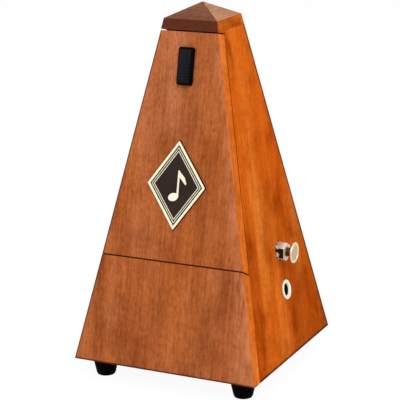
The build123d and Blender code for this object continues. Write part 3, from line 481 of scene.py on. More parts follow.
class Finish(Enum):
    """Every finish on the metronome."""

    COVER = WoodFinish("cover_stain", *RED_BROWN, turn=FRONT_TURN, shift=255.46, clouds=0.75, rim=-1, wear=0.45)
    LOWER = WoodFinish("lower_stain", *RED_BROWN, turn=FRONT_TURN, shift=50.07, clouds=0.8, rim=-1, wear=0.7)
    RIGHT = WoodFinish(
        "right_stain", *ORANGE, turn=RIGHT_TURN, shift=76.29, across=1, rim=1, low_shade=0.85, **SIDE_STAIN
    )
    LEFT = WoodFinish("left_stain", *ORANGE, turn=LEFT_TURN, shift=11.9, across=1, rim=1, low_shade=0.85, **SIDE_STAIN)
    BACK = WoodFinish("back_stain", *ORANGE, turn=BACK_TURN, shift=17.3, **(SIDE_STAIN | {"clouds": 0.6}))
    BOARD_EDGE = WoodFinish(
        "board_edge", (0.56, 0.106, 0.006), (0.665, 0.142, 0.011), (0.77, 0.2, 0.026), turn=FRONT_TURN, gloss=0.01,
        grain=0.5, mottle=0.55, across=1, rim=1, foot_squeeze=0.72,
    )
    # Painted highlight on the rounded right corner, between the front's stain and the edge's.
    CORNER = WoodFinish(
        "corner_blend_painted_highlight", (0.43, 0.098, 0.017), (0.53, 0.143, 0.040), (0.61, 0.195, 0.072), turn=FRONT_TURN, shift=5.0
    )
    # Painted shade: eased edges that face left, back or down are coloured dark.
    DARK_EDGE = WoodFinish("edge_painted_shade", (0.05, 0.012, 0.003), (0.085, 0.02, 0.006), (0.13, 0.03, 0.01), clouds=0.3)
    # Painted shade: the dark line in the gap beside the cover and under the cap.
    SEAM = WoodFinish("seam_painted_shade", (0.13, 0.026, 0.004), (0.19, 0.04, 0.006), (0.26, 0.06, 0.01), gloss=0.03)
    CAP_END = WoodFinish(
        "cap_end_grain", (0.082, 0.020, 0.009), (0.112, 0.028, 0.013), (0.15, 0.042, 0.02), turn=ALONG_X, **CAP_STAIN
    )
    # Painted sheen: the cap's upward slopes are a lighter, paler copy of the wood of the bands below them.
    CAP_SLOPE = WoodFinish(
        "cap_front_slope_painted_sheen", (0.165, 0.056, 0.026), (0.205, 0.073, 0.035), (0.25, 0.095, 0.05), turn=ALONG_X, **CAP_STAIN
    )
    CAP_SIDE = WoodFinish(
        "cap_side", (0.40, 0.066, 0.001), (0.53, 0.102, 0.003), (0.64, 0.150, 0.008), turn=ALONG_Y, shift=5.3,
        clouds=0.9, gloss=0.01,
    )
    # Painted sheen, as on the front slope.
    CAP_SIDE_SLOPE = WoodFinish(
        "cap_side_slope_painted_sheen", (0.41, 0.181, 0.087), (0.49, 0.228, 0.121), (0.58, 0.287, 0.165), turn=ALONG_Y, **CAP_STAIN
    )
    PLAIN_WOOD = WoodFinish(
        "plain_wood", (0.36, 0.20, 0.09), (0.46, 0.28, 0.13), (0.56, 0.36, 0.19), turn=ALONG_Y, clouds=0.2, rough=0.6
    )
    BLACK = SkinFinish("latch_black", (0.0075, 0.0075, 0.0100), rough=0.36, bump=0.06, gloss=0.05)
    # Painted light on the latch: the sides are a darker copy of its black as shade, the ribs a lighter copy as
    # highlight.
    BLACK_SIDE = SkinFinish("latch_side", (0.0020, 0.0020, 0.0026), rough=0.4, bump=0.06, gloss=0.02)
    BLACK_RIB = SkinFinish("latch_rib", (0.0140, 0.0140, 0.0180), rough=0.34, bump=0.06, gloss=0.08)
    # Painted shade: a dark strip laid in the gap under the cover.
    FELT = SkinFinish("gap_painted_shade_strip", (0.045, 0.014, 0.006), rough=0.9, bump=0.4, stretch=(2600, 2600, 2600), gloss=0.0)
    RUBBER = SkinFinish(
        "moulded_rubber", (0.002, 0.0012, 0.0014), rough=0.6, bump=0.15, stretch=(2200, 2200, 2200), gloss=0.01
    )
    BADGE_DARK = SkinFinish("badge_enamel", (0.033, 0.021, 0.016), rough=0.4, gloss=0.05)
    # Painted shadow: the badge plate's wall, darker than its face.
    BADGE_RIM = SkinFinish("badge_wall_painted_shadow", (0.012, 0.007, 0.004), rough=0.5, gloss=0.02)
    CREAM = SkinFinish("badge_cream", (0.95, 0.88, 0.66), rough=0.35, marks=0.06)
    IVORY = SkinFinish("eyelet_ivory", (0.90, 0.83, 0.68), rough=0.35, marks=0.06)
    # Painted shade inside the keyhole's bore.
    BORE = SkinFinish("eyelet_bore_painted_shade", (0.006, 0.005, 0.004), rough=0.5, gloss=0.1)
    INK = SkinFinish("scale_ink", (0.02, 0.02, 0.022), rough=0.5)
    NICKEL = MetalFinish("bright_nickel", (0.80, 0.74, 0.64), rough=0.16, marks=0.12)
    # Painted light: near-black nickel with bright glints, as dark reflections on the nut's front facets and shade on
    # the washer.
    DARK_NICKEL = MetalFinish(
        "nickel_painted_dark_and_glints", (0.72, 0.66, 0.54), rough=0.3, marks=0.99, blots=330, blot_edge=(0.52, 0.6), metallic=0.45,
        shift=15.7,
    )
    # Painted shade: darker nickel for the sleeve between the nut and the disc.
    SLEEVE = MetalFinish("sleeve_painted_shade", (0.30, 0.20, 0.12), rough=0.28, marks=0.6)
    KNOB = MetalFinish("satin_nickel", (0.52, 0.45, 0.30), rough=0.36, marks=0.10)
    NUT = MetalFinish("nut_nickel", (0.93, 0.82, 0.66), rough=0.36, marks=0.25, metallic=0.55)
    # Painted reflection: the polished rim is tinted warm as if reflecting the wood.
    KNOB_RIM = MetalFinish("polished_rim_painted_reflection", (0.87, 0.62, 0.44), rough=0.2, marks=0.05)
    STEEL = MetalFinish("brushed_steel", (0.56, 0.56, 0.56), rough=0.33, stretch=(200, 1500, 1500))
    BLUED = MetalFinish("blued_spring", (0.10, 0.11, 0.14), rough=0.3)
    BRASS = MetalFinish("lacquered_brass", (0.80, 0.57, 0.24), rough=0.3, stretch=(500, 500, 60), bump=0.008)
    SCALE = MetalFinish("scale_aluminium", (0.82, 0.79, 0.70), rough=0.4, stretch=(2000, 300, 300), marks=0.08)

    @property
    def material(self) -> bpy.types.Material:
        """The finish's material, made the first time it is asked for.

        Returns:
            The material.
        """
        material = bpy.data.materials.get(self.value.name)
        if not material:
            material = bpy.data.materials.new(self.value.name)
            tree = Tree(material)
            inputs = self.value.shade(tree, tree.add("TexCoord").outputs["Object"])
            tree.surface(tree.add("BsdfPrincipled", inputs).outputs[0])
        return material


class Bench:
    """Turns CAD nodes and bmesh shapes into finished pieces."""

    @staticmethod
    def copy_of(node: str) -> Mesh:
        """A merged copy of a CAD node's mesh with its flat faces joined up.

        Args:
            node: The CAD node's name.

        Returns:
            The new bmesh.
        """
        mesh = bmesh.new()
        mesh.from_mesh(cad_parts[node].data)
        bmesh.ops.remove_doubles(mesh, verts=mesh.verts, dist=MERGE)
        bmesh.ops.dissolve_limit(mesh, angle_limit=FLAT_ANGLE, verts=mesh.verts, edges=mesh.edges)
        return mesh

    @staticmethod
    def ease(
        mesh: Mesh, radius: float, shortest: float, segments: int = 2, ends_of: set[MeshFace] | None = None
    ) -> set[MeshFace]:
        """Round the long sharp edges.

        Args:
            mesh: The shape to ease.
            radius: Width of the rounding, in metres.
            shortest: Edges shorter than this stay sharp.
            segments: Steps across the rounding.
            ends_of: Faces whose sharp edges are rounded however short they are.

        Returns:
            The faces of the rounding.
        """
        always = ends_of or set()
        sharp = [
            edge
            for edge in mesh.edges
            if len(edge.link_faces) == 2
            and edge.calc_face_angle(0) > SHARP_ANGLE
            and (edge.calc_length() > shortest or not always.isdisjoint(edge.link_faces))
        ]
        return Bench.round_off(mesh, sharp, radius, segments)

    @staticmethod
    def round_off(mesh: Mesh, edges: list[bmesh.types.BMEdge], radius: float, segments: int) -> set[MeshFace]:
        """Round the given edges.

        Args:
            mesh: The shape they belong to.
            edges: The edges to round.
            radius: Width of the rounding, in metres.
            segments: Steps across the rounding.

        Returns:
            The faces of the rounding.
        """
        result = bmesh.ops.bevel(
            mesh, geom=edges, offset=radius, affect="EDGES", segments=segments, profile=0.5, material=-1,
            clamp_overlap=True,
        )
        return set(result["faces"])

    @staticmethod
    def lathe(profile: Profile, steps: int) -> Mesh:
        """Turn a profile of radius and height, in millimetres, about the z axis.

        Args:
            profile: The points in order; a profile that doesn't start on the axis is closed.
            steps: Sides of the round.

        Returns:
            The turned shape, in metres.
        """
        mesh = bmesh.new()
        points = [mesh.verts.new((radius * MM, 0, height * MM)) for radius, height in profile]
        pairs = list(zip(points, points[1:]))
        if profile[0][0] > 0:
            pairs.append((points[-1], points[0]))
        edges = [mesh.edges.new(pair) for pair in pairs]
        bmesh.ops.spin(
            mesh, geom=points + edges, cent=(0, 0, 0), axis=(0, 0, 1), dvec=(0, 0, 0), angle=2 * math.pi,
            steps=steps, use_merge=True, use_duplicate=False,
        )
        bmesh.ops.remove_doubles(mesh, verts=mesh.verts, dist=MERGE)
        bmesh.ops.recalc_face_normals(mesh, faces=mesh.faces)
        return mesh

    @staticmethod
    def rectangle(mesh: Mesh, width: float, height: float) -> list[MeshVert]:
        """Add a flat rectangle about the origin and give its points."""
        size = Matrix.Diagonal((width, height, 1, 1))
        return bmesh.ops.create_grid(mesh, x_segments=1, y_segments=1, size=0.5, matrix=size)["verts"]

    @staticmethod
    def thicken(mesh: Mesh, faces: list[MeshFace], height: float) -> None:
        """Raise flat faces into closed slabs along z.

        Args:
            mesh: The shape they belong to.
            faces: The faces to raise.
            height: How far, in metres.
        """
        raised = bmesh.ops.extrude_face_region(mesh, geom=faces)["geom"]
        bmesh.ops.translate(mesh, vec=(0, 0, height), verts=Bench.points_of(raised))
        bmesh.ops.recalc_face_normals(mesh, faces=mesh.faces)

    @staticmethod
    def points_of(items: list) -> list[MeshVert]:
        """The points among the given parts of a shape."""
        return [item for item in items if isinstance(item, MeshVert)]

    @staticmethod
    def smooth(mesh: Mesh, rounded: set[MeshFace]) -> None:
        """Shade the rounded faces smooth and all others flat."""
        for face in mesh.faces:
            face.smooth = face in rounded

    @staticmethod
    def move(mesh: Mesh, place: Matrix) -> None:
        """Move a whole shape to its place."""
        bmesh.ops.transform(mesh, matrix=place, verts=mesh.verts)

    @staticmethod
    def paint(mesh: Mesh, choose: Callable[[MeshFace], Finish]) -> list[Finish]:
        """Give each face of a shape its finish.

        Args:
            mesh: The shape to paint.
            choose: Tells the finish of a face.

        Returns:
            The finishes in the order of the material slots.
        """
        finishes: list[Finish] = []
        for face in mesh.faces:
            finish = choose(face)
            if finish not in finishes:
                finishes.append(finish)
            face.material_index = finishes.index(finish)
        return finishes

    @staticmethod
    def finish(
        mesh: Mesh, name: str, body: str, slot: str, finishes: list[Finish], smooth: bool = False
    ) -> bpy.types.Object:
        """Make a piece of a bmesh, dress it and let it ride on a body.

        Args:
            mesh: The finished shape, freed here.
            name: The piece's name.
            body: The CAD body it moves with.
            slot: The record's material slot that it belongs to; not used.
            finishes: Its material slots in order.
            smooth: Whether its gentle edges are shaded smooth.

        Returns:
            The new piece.
        """
        data = bpy.data.meshes.new(name)
        bmesh.ops.dissolve_degenerate(mesh, dist=MERGE, edges=mesh.edges)
        if smooth:
            for face in mesh.faces:
                face.smooth = True
        mesh.to_mesh(data)
        mesh.free()
        if smooth:
            data.set_sharp_from_angle(angle=SMOOTH_ANGLE)
        piece = bpy.data.objects.new(name, data)
        bpy.context.collection.objects.link(piece)
        for finish in finishes:
            data.materials.append(finish.material)
        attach(piece, body)
        log.info("piece %s on %s, %d faces", name, body, len(data.polygons))
        return piece

    @staticmethod
    def dress(node: str, finish: Finish) -> None:
        """Give a CAD node a better material.

        Args:
            node: The CAD node's name.
            finish: Its new finish.
        """
        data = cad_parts[node].data
        data.materials.clear()
        data.materials.append(finish.material)
        log.info("node %s dressed in %s", node, finish.value.name)


@dataclass
class Boards:
    """The wooden boards of the case, with eased edges and painted shade on those turned away; turns and slopes are
    shares of a face's normal.
    """

    ease: float = 0.3 * MM
    corner: float = 0.9 * MM
    shortest: float = 6 * MM
    sideways: float = 0.7
    corner_turn: Pair = (0.1, 0.97)
    corner_steps: Pair = (0.3, 0.9)
    dark_turn: Triple = (-0.25, -0.3, -0.1)
    seam_turn: float = -0.3
    cap_slope: float = 0.5
    strip: Triple = (90.8 * MM, 6.2 * MM, 0.5 * MM)
    strip_ease: float = 0.15 * MM
    strip_back: float = 0.3 * MM
    strip_lift: float = 0.02 * MM

    def build(self) -> None:
        """Make every board and the cap."""
        self.front("front_cover", "cover", Finish.COVER)
        self.front("lower_front", "case", Finish.LOWER)
        self.side("right_side", Finish.RIGHT)
        self.side("left_side", Finish.LEFT)
        self.side("back_panel", Finish.BACK)
        self.cap()
        self.rest_strip()

    def front(self, node: str, body: str, flat: Finish) -> None:
        """Make one of the two front boards from its CAD node.

        Args:
            node: The CAD node.
            body: The body it rides on.
            flat: Finish of its broad faces.
        """
        mesh = Bench.copy_of(node)
        corners = [
            edge
            for edge in mesh.edges
            if min(face.normal.y for face in edge.link_faces) < -FACING
            and max(abs(face.normal.x) for face in edge.link_faces) > self.sideways
        ]
        rounded = Bench.round_off(mesh, corners, self.corner, segments=4)
        eased = Bench.ease(mesh, self.ease, self.shortest, ends_of=rounded)
        Bench.smooth(mesh, eased.union(filter(self.at_corner, mesh.faces)))
        finishes = Bench.paint(mesh, lambda face: self.front_finish(face, flat))
        piece = Bench.finish(mesh, node + "_wood", body, "front_wood", finishes)
        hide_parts(node)

    def at_corner(self, face: MeshFace) -> bool:
        """Whether a front board's face belongs to the rounding of an upright corner."""
        low, high = self.corner_turn
        return low < abs(face.normal.x) < high and face.normal.y < -low

    def front_finish(self, face: MeshFace, flat: Finish) -> Finish:
        """Choose the finish of a front board's face.

        Args:
            face: The face, shaded smooth where it is rounded.
            flat: Finish of the broad faces.

        Returns:
            The face's finish.
        """
        normal = face.normal
        # The rounded right corner steps from the front's stain through the painted highlight to the edge's.
        if self.at_corner(face) and normal.x > 0:
            flat_end, edge_start = self.corner_steps
            if normal.x < flat_end:
                return flat
            return Finish.CORNER if normal.x < edge_start else Finish.BOARD_EDGE
        # Eased faces turned left, back or down get painted shade.
        left, back, down = self.dark_turn
        if face.smooth and (normal.x < left or normal.y > back or normal.z < down):
            return Finish.DARK_EDGE
        return Finish.BOARD_EDGE if abs(normal.x) > self.sideways else flat

    def side(self, node: str, flat: Finish) -> None:
        """Make a side or the back from its CAD node, with a line of painted shade along the cover.

        Args:
            node: The CAD node.
            flat: Finish of its faces.
        """
        mesh = Bench.copy_of(node)
        everything = mesh.verts[:] + mesh.edges[:] + mesh.faces[:]
        bmesh.ops.bisect_plane(mesh, geom=everything, plane_co=(0, 0, CASE.split_height), plane_no=(0, 0, 1))
        eased = Bench.ease(mesh, self.ease, self.shortest)
        Bench.smooth(mesh, eased)
        finishes = Bench.paint(mesh, lambda face: self.side_finish(face, flat))
        piece = Bench.finish(mesh, node + "_wood", "case", "side_wood", finishes)
        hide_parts(node)

    def side_finish(self, face: MeshFace, flat: Finish) -> Finish:
        """Painted shade on the eased edge along the cover, the back's own finish behind, and the given one elsewhere.
        """
        seam = face.smooth and face.normal.y < self.seam_turn and face.calc_center_median().z > CASE.split_height
        return Finish.SEAM if seam else Finish.BACK if face.normal.y > FACING else flat

    def cap(self) -> None:
        """Make the cap, with end grain at its front and back."""
        mesh = Bench.copy_of("top_cap")
        eased = Bench.ease(mesh, self.ease, self.shortest)
        Bench.smooth(mesh, eased)
        piece = Bench.finish(mesh, "top_cap_wood", "case", "cap_wood", Bench.paint(mesh, self.cap_finish))
        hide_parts("top_cap")

    def cap_finish(self, face: MeshFace) -> Finish:
        """Choose the finish of a face of the cap.

        Args:
            face: The face, shaded smooth where it is rounded.

        Returns:
            The face's finish.
        """
        sideways = abs(face.normal.x) > abs(face.normal.y)
        # Eased faces under the cap get painted shade.
        if face.smooth and face.normal.z < self.seam_turn:
            return Finish.SEAM if sideways else Finish.DARK_EDGE
        # The upward slopes get a painted sheen.
        if face.normal.z > self.cap_slope:
            return Finish.CAP_SIDE_SLOPE if sideways else Finish.CAP_SLOPE
        return Finish.CAP_SIDE if sideways else Finish.CAP_END

    def rest_strip(self) -> None:
        """A dark strip on the lower front's top edge, under the cover: painted shade that fills the gap."""
        width, depth, height = self.strip
        mesh = bmesh.new()
        Bench.rectangle(mesh, width, depth)
        Bench.thicken(mesh, mesh.faces[:], height)
        Bench.ease(mesh, self.strip_ease, self.shortest)
        edge = face_frame(Face.FRONT) @ Vector((0, CASE.split_slant, 0))
        place = Matrix.Translation(edge) @ Matrix.Rotation(-CASE.split_fall, 4, "X")
        Bench.move(mesh, place @ Matrix.Translation((0, depth / 2 + self.strip_back, self.strip_lift)))
        Bench.finish(mesh, "rest_strip", "case", "front_wood", [Finish.FELT])


@dataclass
class CoverLatch:
    """Black latch button with low grip ribs, and the coil spring under its shank."""

    flat: float = 0.97
    rib_count: int = 5
    rib_size: Triple = (4.6 * MM, 0.6 * MM, 0.5 * MM)
    rib_pitch: float = 1.7 * MM
    rib_middle: float = 175.2 * MM
    rib_ease: float = 0.16 * MM
    face: float = 3.2 * MM
    spring_foot: float = 172.8 * MM
    spring_depth: float = 3.75 * MM
    spring_keep: float = 0.42

    def build(self) -> None:
        """Make the button, its ribs and its spring."""
        mesh = Bench.copy_of("cover_latch")
        out = face_frame(Face.FRONT).to_3x3().col[2]
        # Faces that do not look out get the painted shade.
        finishes = Bench.paint(
            mesh, lambda face: Finish.BLACK if face.normal.dot(out) > self.flat else Finish.BLACK_SIDE
        )
        latch = Bench.finish(mesh, "latch_button", "latch", "black_plastic", finishes, smooth=True)
        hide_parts("cover_latch")
        self.ribs()
        self.spring()

    def ribs(self) -> None:
        """Low ribs across the lower half of the button's face."""
        mesh = bmesh.new()
        for i in range(self.rib_count):
            made = bmesh.ops.create_cube(mesh, size=1.0)["verts"]
            slant = self.rib_middle + (i - (self.rib_count - 1) / 2) * self.rib_pitch
            bmesh.ops.scale(mesh, vec=self.rib_size, verts=made)
            bmesh.ops.translate(mesh, vec=(0, slant, self.face), verts=made)
        Bench.round_off(mesh, mesh.edges[:], self.rib_ease, segments=2)
        Bench.move(mesh, face_frame(Face.FRONT))
        # The ribs' lighter black is a painted highlight.
        Bench.finish(mesh, "latch_ribs", "latch", "black_plastic", [Finish.BLACK_RIB], smooth=True)

    def spring(self) -> None:
        """The coil spring under the button's shank, on a mesh of its own that rides on the cover; the real one
        shortens as the button slides down.
        """
        mesh = Bench.copy_of("latch_spring")
        coil = Bench.finish(mesh, "latch_coil", "cover", "spring_steel", [Finish.BLUED], smooth=True)
        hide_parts("latch_spring")
        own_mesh(coil)


@dataclass
class Badge:
    """Diamond badge: dark plate, cream bands and a plain eighth note."""

    half_width: float = 18.375 * MM
    half_height: float = 25.925 * MM
    slant: float = 109.95 * MM
    plate: float = 1.0 * MM
    rise: float = 0.4 * MM
    bands: tuple[Pair, ...] = ((1.0, 0.908), (0.852, 0.826), (0.778, 0.752))
    tip: float = 0.8 * MM
    tip_start: float = 0.99
    upright: float = 0.99
    foot_spread: float = 1.025
    ease: float = 0.1 * MM
    shortest: float = 1.5 * MM

    def build(self) -> None:
        """Make the plate, the bands and the note."""
        self.base()
        self.trim()
        mesh = Bench.copy_of("badge_note")
        Bench.ease(mesh, self.ease, self.shortest)
        piece = Bench.finish(mesh, "badge_note_enamel", "cover", "badge_gold", [Finish.CREAM])
        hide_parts("badge_note")

    def base(self) -> None:
        """The dark plate, whose wall slopes outwards down to the cover and is painted darker as the plate's shadow."""
        mesh = Bench.copy_of("badge_base")
        place = face_frame(Face.FRONT) @ Matrix.Translation((0, self.slant, 0))
        out = place.to_3x3().col[2]
        self.round_tips(mesh, out, mesh.verts[:])
        inverse = place.inverted()
        backs = [vert for vert in mesh.verts if (inverse @ vert.co).z < self.plate / 2]
        bmesh.ops.scale(mesh, vec=(self.foot_spread, self.foot_spread, 1), space=inverse, verts=backs)
        Bench.ease(mesh, self.ease, self.shortest)
        finishes = Bench.paint(
            mesh, lambda face: Finish.BADGE_DARK if face.normal.dot(out) > FACING else Finish.BADGE_RIM
        )
        piece = Bench.finish(mesh, "badge_base_enamel", "cover", "badge_dark", finishes)
        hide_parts("badge_base")

    def round_tips(self, mesh: Mesh, out: Vector, verts: list[MeshVert]) -> None:
        """Round the diamond's four tips.

        Args:
            mesh: The shape to change.
            out: The way the badge looks.
            verts: The points of the tips' upright edges.
        """
        wanted = set(verts)
        uprights = [
            edge
            for edge in mesh.edges
            if wanted.issuperset(edge.verts)
            and abs((edge.verts[1].co - edge.verts[0].co).normalized().dot(out)) > self.upright
        ]
        Bench.round_off(mesh, uprights, self.tip, segments=3)

    def trim(self) -> None:
        """Raised cream bands round the plate."""
        mesh = bmesh.new()
        apothem = self.half_width * self.half_height / math.hypot(self.half_width, self.half_height)
        for outside, inside in self.bands:
            made = bmesh.ops.create_circle(mesh, cap_ends=True, segments=4, radius=1.0)["verts"]
            bmesh.ops.scale(mesh, vec=(self.half_width * outside, self.half_height * outside, 1), verts=made)
            inner = made[0].link_faces[0]
            ring = bmesh.ops.inset_region(
                mesh, faces=[inner], thickness=apothem * (outside - inside), use_boundary=True, use_even_offset=True
            )["faces"]
            bmesh.ops.delete(mesh, geom=[inner], context="FACES")
            Bench.thicken(mesh, ring, self.rise)
        reach = self.tip_start * self.half_width
        squash = self.half_width / self.half_height
        outer = [vert for vert in mesh.verts if max(abs(vert.co.x), abs(vert.co.y) * squash) > reach]
        self.round_tips(mesh, Vector((0, 0, 1)), outer)
        Bench.ease(mesh, self.ease, self.shortest)
        Bench.move(mesh, face_frame(Face.FRONT, -self.plate) @ Matrix.Translation((0, self.slant, 0)))
        piece = Bench.finish(mesh, "badge_bands", "cover", "badge_gold", [Finish.CREAM])
        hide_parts("badge_trim")


@dataclass
class KeyEyelet:
    """Cream ring round the keyhole, with painted shade in its bore."""

    across: float = 7.0 * MM
    height: float = 50.6 * MM
    mouth: float = 3.75 * MM
    profile: Profile = (
        (5.8, 0.0), (5.95, 0.25), (5.85, 0.55), (5.5, 0.78), (5.0, 0.84), (4.5, 0.76), (4.1, 0.5), (3.85, 0.15),
        (3.7, -0.4), (3.5, -0.9), (3.5, -6.5), (4.4, -6.5), (4.4, 0.0),
    )

    def build(self) -> None:
        """Turn the ring and set it in the side."""
        mesh = Bench.lathe(self.profile, steps=56)
        finishes = Bench.paint(
            mesh, lambda face: Finish.BORE if face.calc_center_median().xy.length < self.mouth else Finish.IVORY
        )
        Bench.move(mesh, face_frame(Face.RIGHT) @ Matrix.Translation((self.across, slope_at(self.height), 0)))
        piece = Bench.finish(mesh, "key_eyelet_ring", "case", "ivory_ring", finishes, smooth=True)
        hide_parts("key_eyelet")


@dataclass
class BellPull:
    """Hexagonal nut, toothed washer, threaded sleeve and disc of the bell pull."""

    axis: Pair = (7.5 * MM, 74.0 * MM)
    nut_end: float = 51.09 * MM
    nut_ease: float = 0.8 * MM
    nut_shortest: float = 2.5 * MM
    nut_front: float = -0.8
    knob_start: float = 54.69 * MM
    knob: Profile = (
        (0.0, 1.12), (4.7, 1.12), (4.95, 1.2), (5.15, 1.4), (5.45, 1.5), (5.9, 1.47), (6.2, 1.25), (6.3, 0.9),
        (6.3, 0.5), (6.15, 0.15), (5.8, 0.0), (2.7, 0.0), (2.4, -0.5), (1.55, -0.5), (1.55, 0.8), (0.0, 0.8),
    )
    knob_rim: float = 4.8 * MM
    washer_radius: float = 5.95 * MM
    washer_tooth: float = 0.5 * MM
    washer_teeth: int = 22
    washer_rise: float = 0.55 * MM
    thread: Profile = (
        (1.62, -0.4), (2.9, -0.4), (2.9, 0.1), (2.55, 0.35), (2.9, 0.6), (2.55, 0.85), (2.9, 1.1), (2.55, 1.35),
        (2.8, 1.6), (2.5, 1.8), (1.62, 1.8),
    )

    def on_axis(self, start: float) -> Matrix:
        """Frame on the pull's axis, its z along +X, at a distance from the middle of the case."""
        axes = Matrix(((0, 0, 1), (1, 0, 0), (0, 1, 0))).to_4x4()
        return Matrix.Translation((start, *self.axis)) @ axes

    def build(self) -> None:
        """Make the nut, washer, sleeve and disc, and dress the rod."""
        self.nut()
        self.washer()
        self.sleeve()
        mesh = Bench.lathe(self.knob, steps=56)
        finishes = Bench.paint(
            mesh, lambda face: Finish.KNOB_RIM if face.calc_center_median().xy.length > self.knob_rim else Finish.KNOB
        )
        Bench.move(mesh, self.on_axis(self.knob_start))
        disc = Bench.finish(mesh, "pull_disc", "bell_pull", "nickel", finishes, smooth=True)
        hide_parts("pull_knob")
        Bench.dress("pull_rod", Finish.NICKEL)

    def nut(self) -> None:
        """The nut, with eased corners and front facets painted with dark reflections and glints."""
        mesh = Bench.copy_of("bell_bush")
        Bench.ease(mesh, self.nut_ease, self.nut_shortest, segments=3)
        finishes = Bench.paint(mesh, lambda face: Finish.DARK_NICKEL if face.normal.y < self.nut_front else Finish.NUT)
        nut = Bench.finish(mesh, "pull_nut", "case", "nickel", finishes)
        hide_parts("bell_bush")

    def washer(self) -> None:
        """Toothed washer under the nut, lying on the side, painted dark as shade with glints."""
        mesh = bmesh.new()
        made = bmesh.ops.create_circle(mesh, cap_ends=True, segments=2 * self.washer_teeth, radius=self.washer_radius)
        for vert in made["verts"][::2]:
            vert.co *= 1 - self.washer_tooth / self.washer_radius
        Bench.thicken(mesh, mesh.faces[:], self.washer_rise)
        Bench.move(mesh, face_frame(Face.RIGHT) @ Matrix.Translation((self.axis[0], slope_at(self.axis[1]), 0)))
        Bench.finish(mesh, "pull_washer", "case", "nickel", [Finish.DARK_NICKEL])

    def sleeve(self) -> None:
        """Short threaded sleeve round the rod, in front of the nut, painted dark as shade between the nut and the
        disc.
        """
        mesh = Bench.lathe(self.thread, steps=40)
        Bench.move(mesh, self.on_axis(self.nut_end))
        Bench.finish(mesh, "pull_sleeve", "case", "nickel", [Finish.SLEEVE], smooth=True)


@dataclass
class Feet:
    """Four rubber feet with a moulded lip and a screw recess; spots and profile are in millimetres."""

    spots: tuple[Pair, ...] = ((-45.2, -44.1), (45.2, -44.1), (-37.25, 44.1), (37.25, 44.1))
    profile: Profile = (
        (8.3, 12.4), (8.3, 12.0), (8.15, 11.7), (8.0, 11.1), (5.85, 1.5), (5.6, 0.75), (5.25, 0.22), (4.75, 0.0),
        (2.9, 0.0), (2.9, 5.8), (1.42, 5.8), (1.42, 12.4),
    )

    def build(self) -> None:
        """Turn one foot and set four under the base."""
        mesh = Bench.lathe(self.profile, steps=48)
        first = mesh.verts[:] + mesh.edges[:] + mesh.faces[:]
        for x, y in self.spots:
            made = bmesh.ops.duplicate(mesh, geom=first)["geom"]
            bmesh.ops.translate(mesh, vec=(x * MM, y * MM, 0), verts=Bench.points_of(made))
        bmesh.ops.delete(mesh, geom=Bench.points_of(first), context="VERTS")
        piece = Bench.finish(mesh, "feet_rubber", "case", "foot_rubber", [Finish.RUBBER], smooth=True)
        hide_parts("feet")
        Bench.dress("foot_screws", Finish.STEEL)


@dataclass
class TempoScale:
    """Printed numbers and lines on the plate behind the pendulum."""

    slow_slant: float = 164 * MM
    fast_slant: float = 92 * MM
    plate_depth: float = 15.2 * MM
    ink: float = 0.03 * MM
    letter: float = 2.7 * MM
    letter_steps: int = 3
    column: float = 6.4 * MM
    line_place: float = 0.62
    number_place: float = 1.45
    line: Pair = (4.2 * MM, 0.25 * MM)
    runs: tuple[tuple[int, int, int], ...] = (
        (40, 60, 2), (60, 72, 3), (72, 120, 4), (120, 144, 6), (144, 209, 8)
    )

    def tempos(self) -> list[int]:
        """The usual tempo marks, from slow to fast."""
        return [tempo for low, high, step in self.runs for tempo in range(low, high, step)]

    def build(self) -> None:
        """Print the marks as thin raised ink."""
        mesh = bmesh.new()
        marks = self.tempos()
        for i, tempo in enumerate(marks):
            slant = self.slow_slant + (self.fast_slant - self.slow_slant) * i / (len(marks) - 1)
            side = -1 if i % 2 else 1
            self.stroke(mesh, side * self.column * self.line_place, slant)
            self.number(mesh, str(tempo), side * self.column * self.number_place, slant)
        bmesh.ops.remove_doubles(mesh, verts=mesh.verts, dist=MERGE)
        Bench.thicken(mesh, mesh.faces[:], self.ink)
        Bench.move(mesh, face_frame(Face.FRONT, self.plate_depth))
        Bench.finish(mesh, "tempo_print", "case", "scale_metal", [Finish.INK])

    def stroke(self, mesh: Mesh, across: float, slant: float) -> None:
        """Add one short line at a place on the plate."""
        made = Bench.rectangle(mesh, *self.line)
        bmesh.ops.translate(mesh, vec=(across, slant, self.ink), verts=made)

    def number(self, mesh: Mesh, text: str, across: float, slant: float) -> None:
        """Add one number.

        Args:
            mesh: The shape to add to.
            text: The number's digits.
            across: Its middle across the plate, in metres.
            slant: Its middle up the plate, in metres.
        """
        letters = bpy.data.curves.new("digits", "FONT")
        letters.body = text
        letters.size = self.letter
        letters.align_x, letters.align_y = "CENTER", "CENTER"
        letters.resolution_u = self.letter_steps
        holder = bpy.data.objects.new("digits", letters)
        flat = bpy.data.meshes.new_from_object(holder)
        flat.transform(Matrix.Translation((across, slant, self.ink)))
        mesh.from_mesh(flat)
        bpy.data.objects.remove(holder)
        bpy.data.curves.remove(letters)
        bpy.data.meshes.remove(flat)


@dataclass
class SlidingWeight:
    """Brass weight on the pendulum rod, with eased edges."""

    ease: float = 0.45 * MM
    shortest: float = 3 * MM

    def build(self) -> None:
        """Make the weight from its CAD node."""
        mesh = Bench.copy_of("sliding_weight")
        eased = Bench.ease(mesh, self.ease, self.shortest, segments=3)
        Bench.smooth(mesh, eased)
        piece = Bench.finish(mesh, "weight_brass", "weight", "brass", [Finish.BRASS])
        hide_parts("sliding_weight")


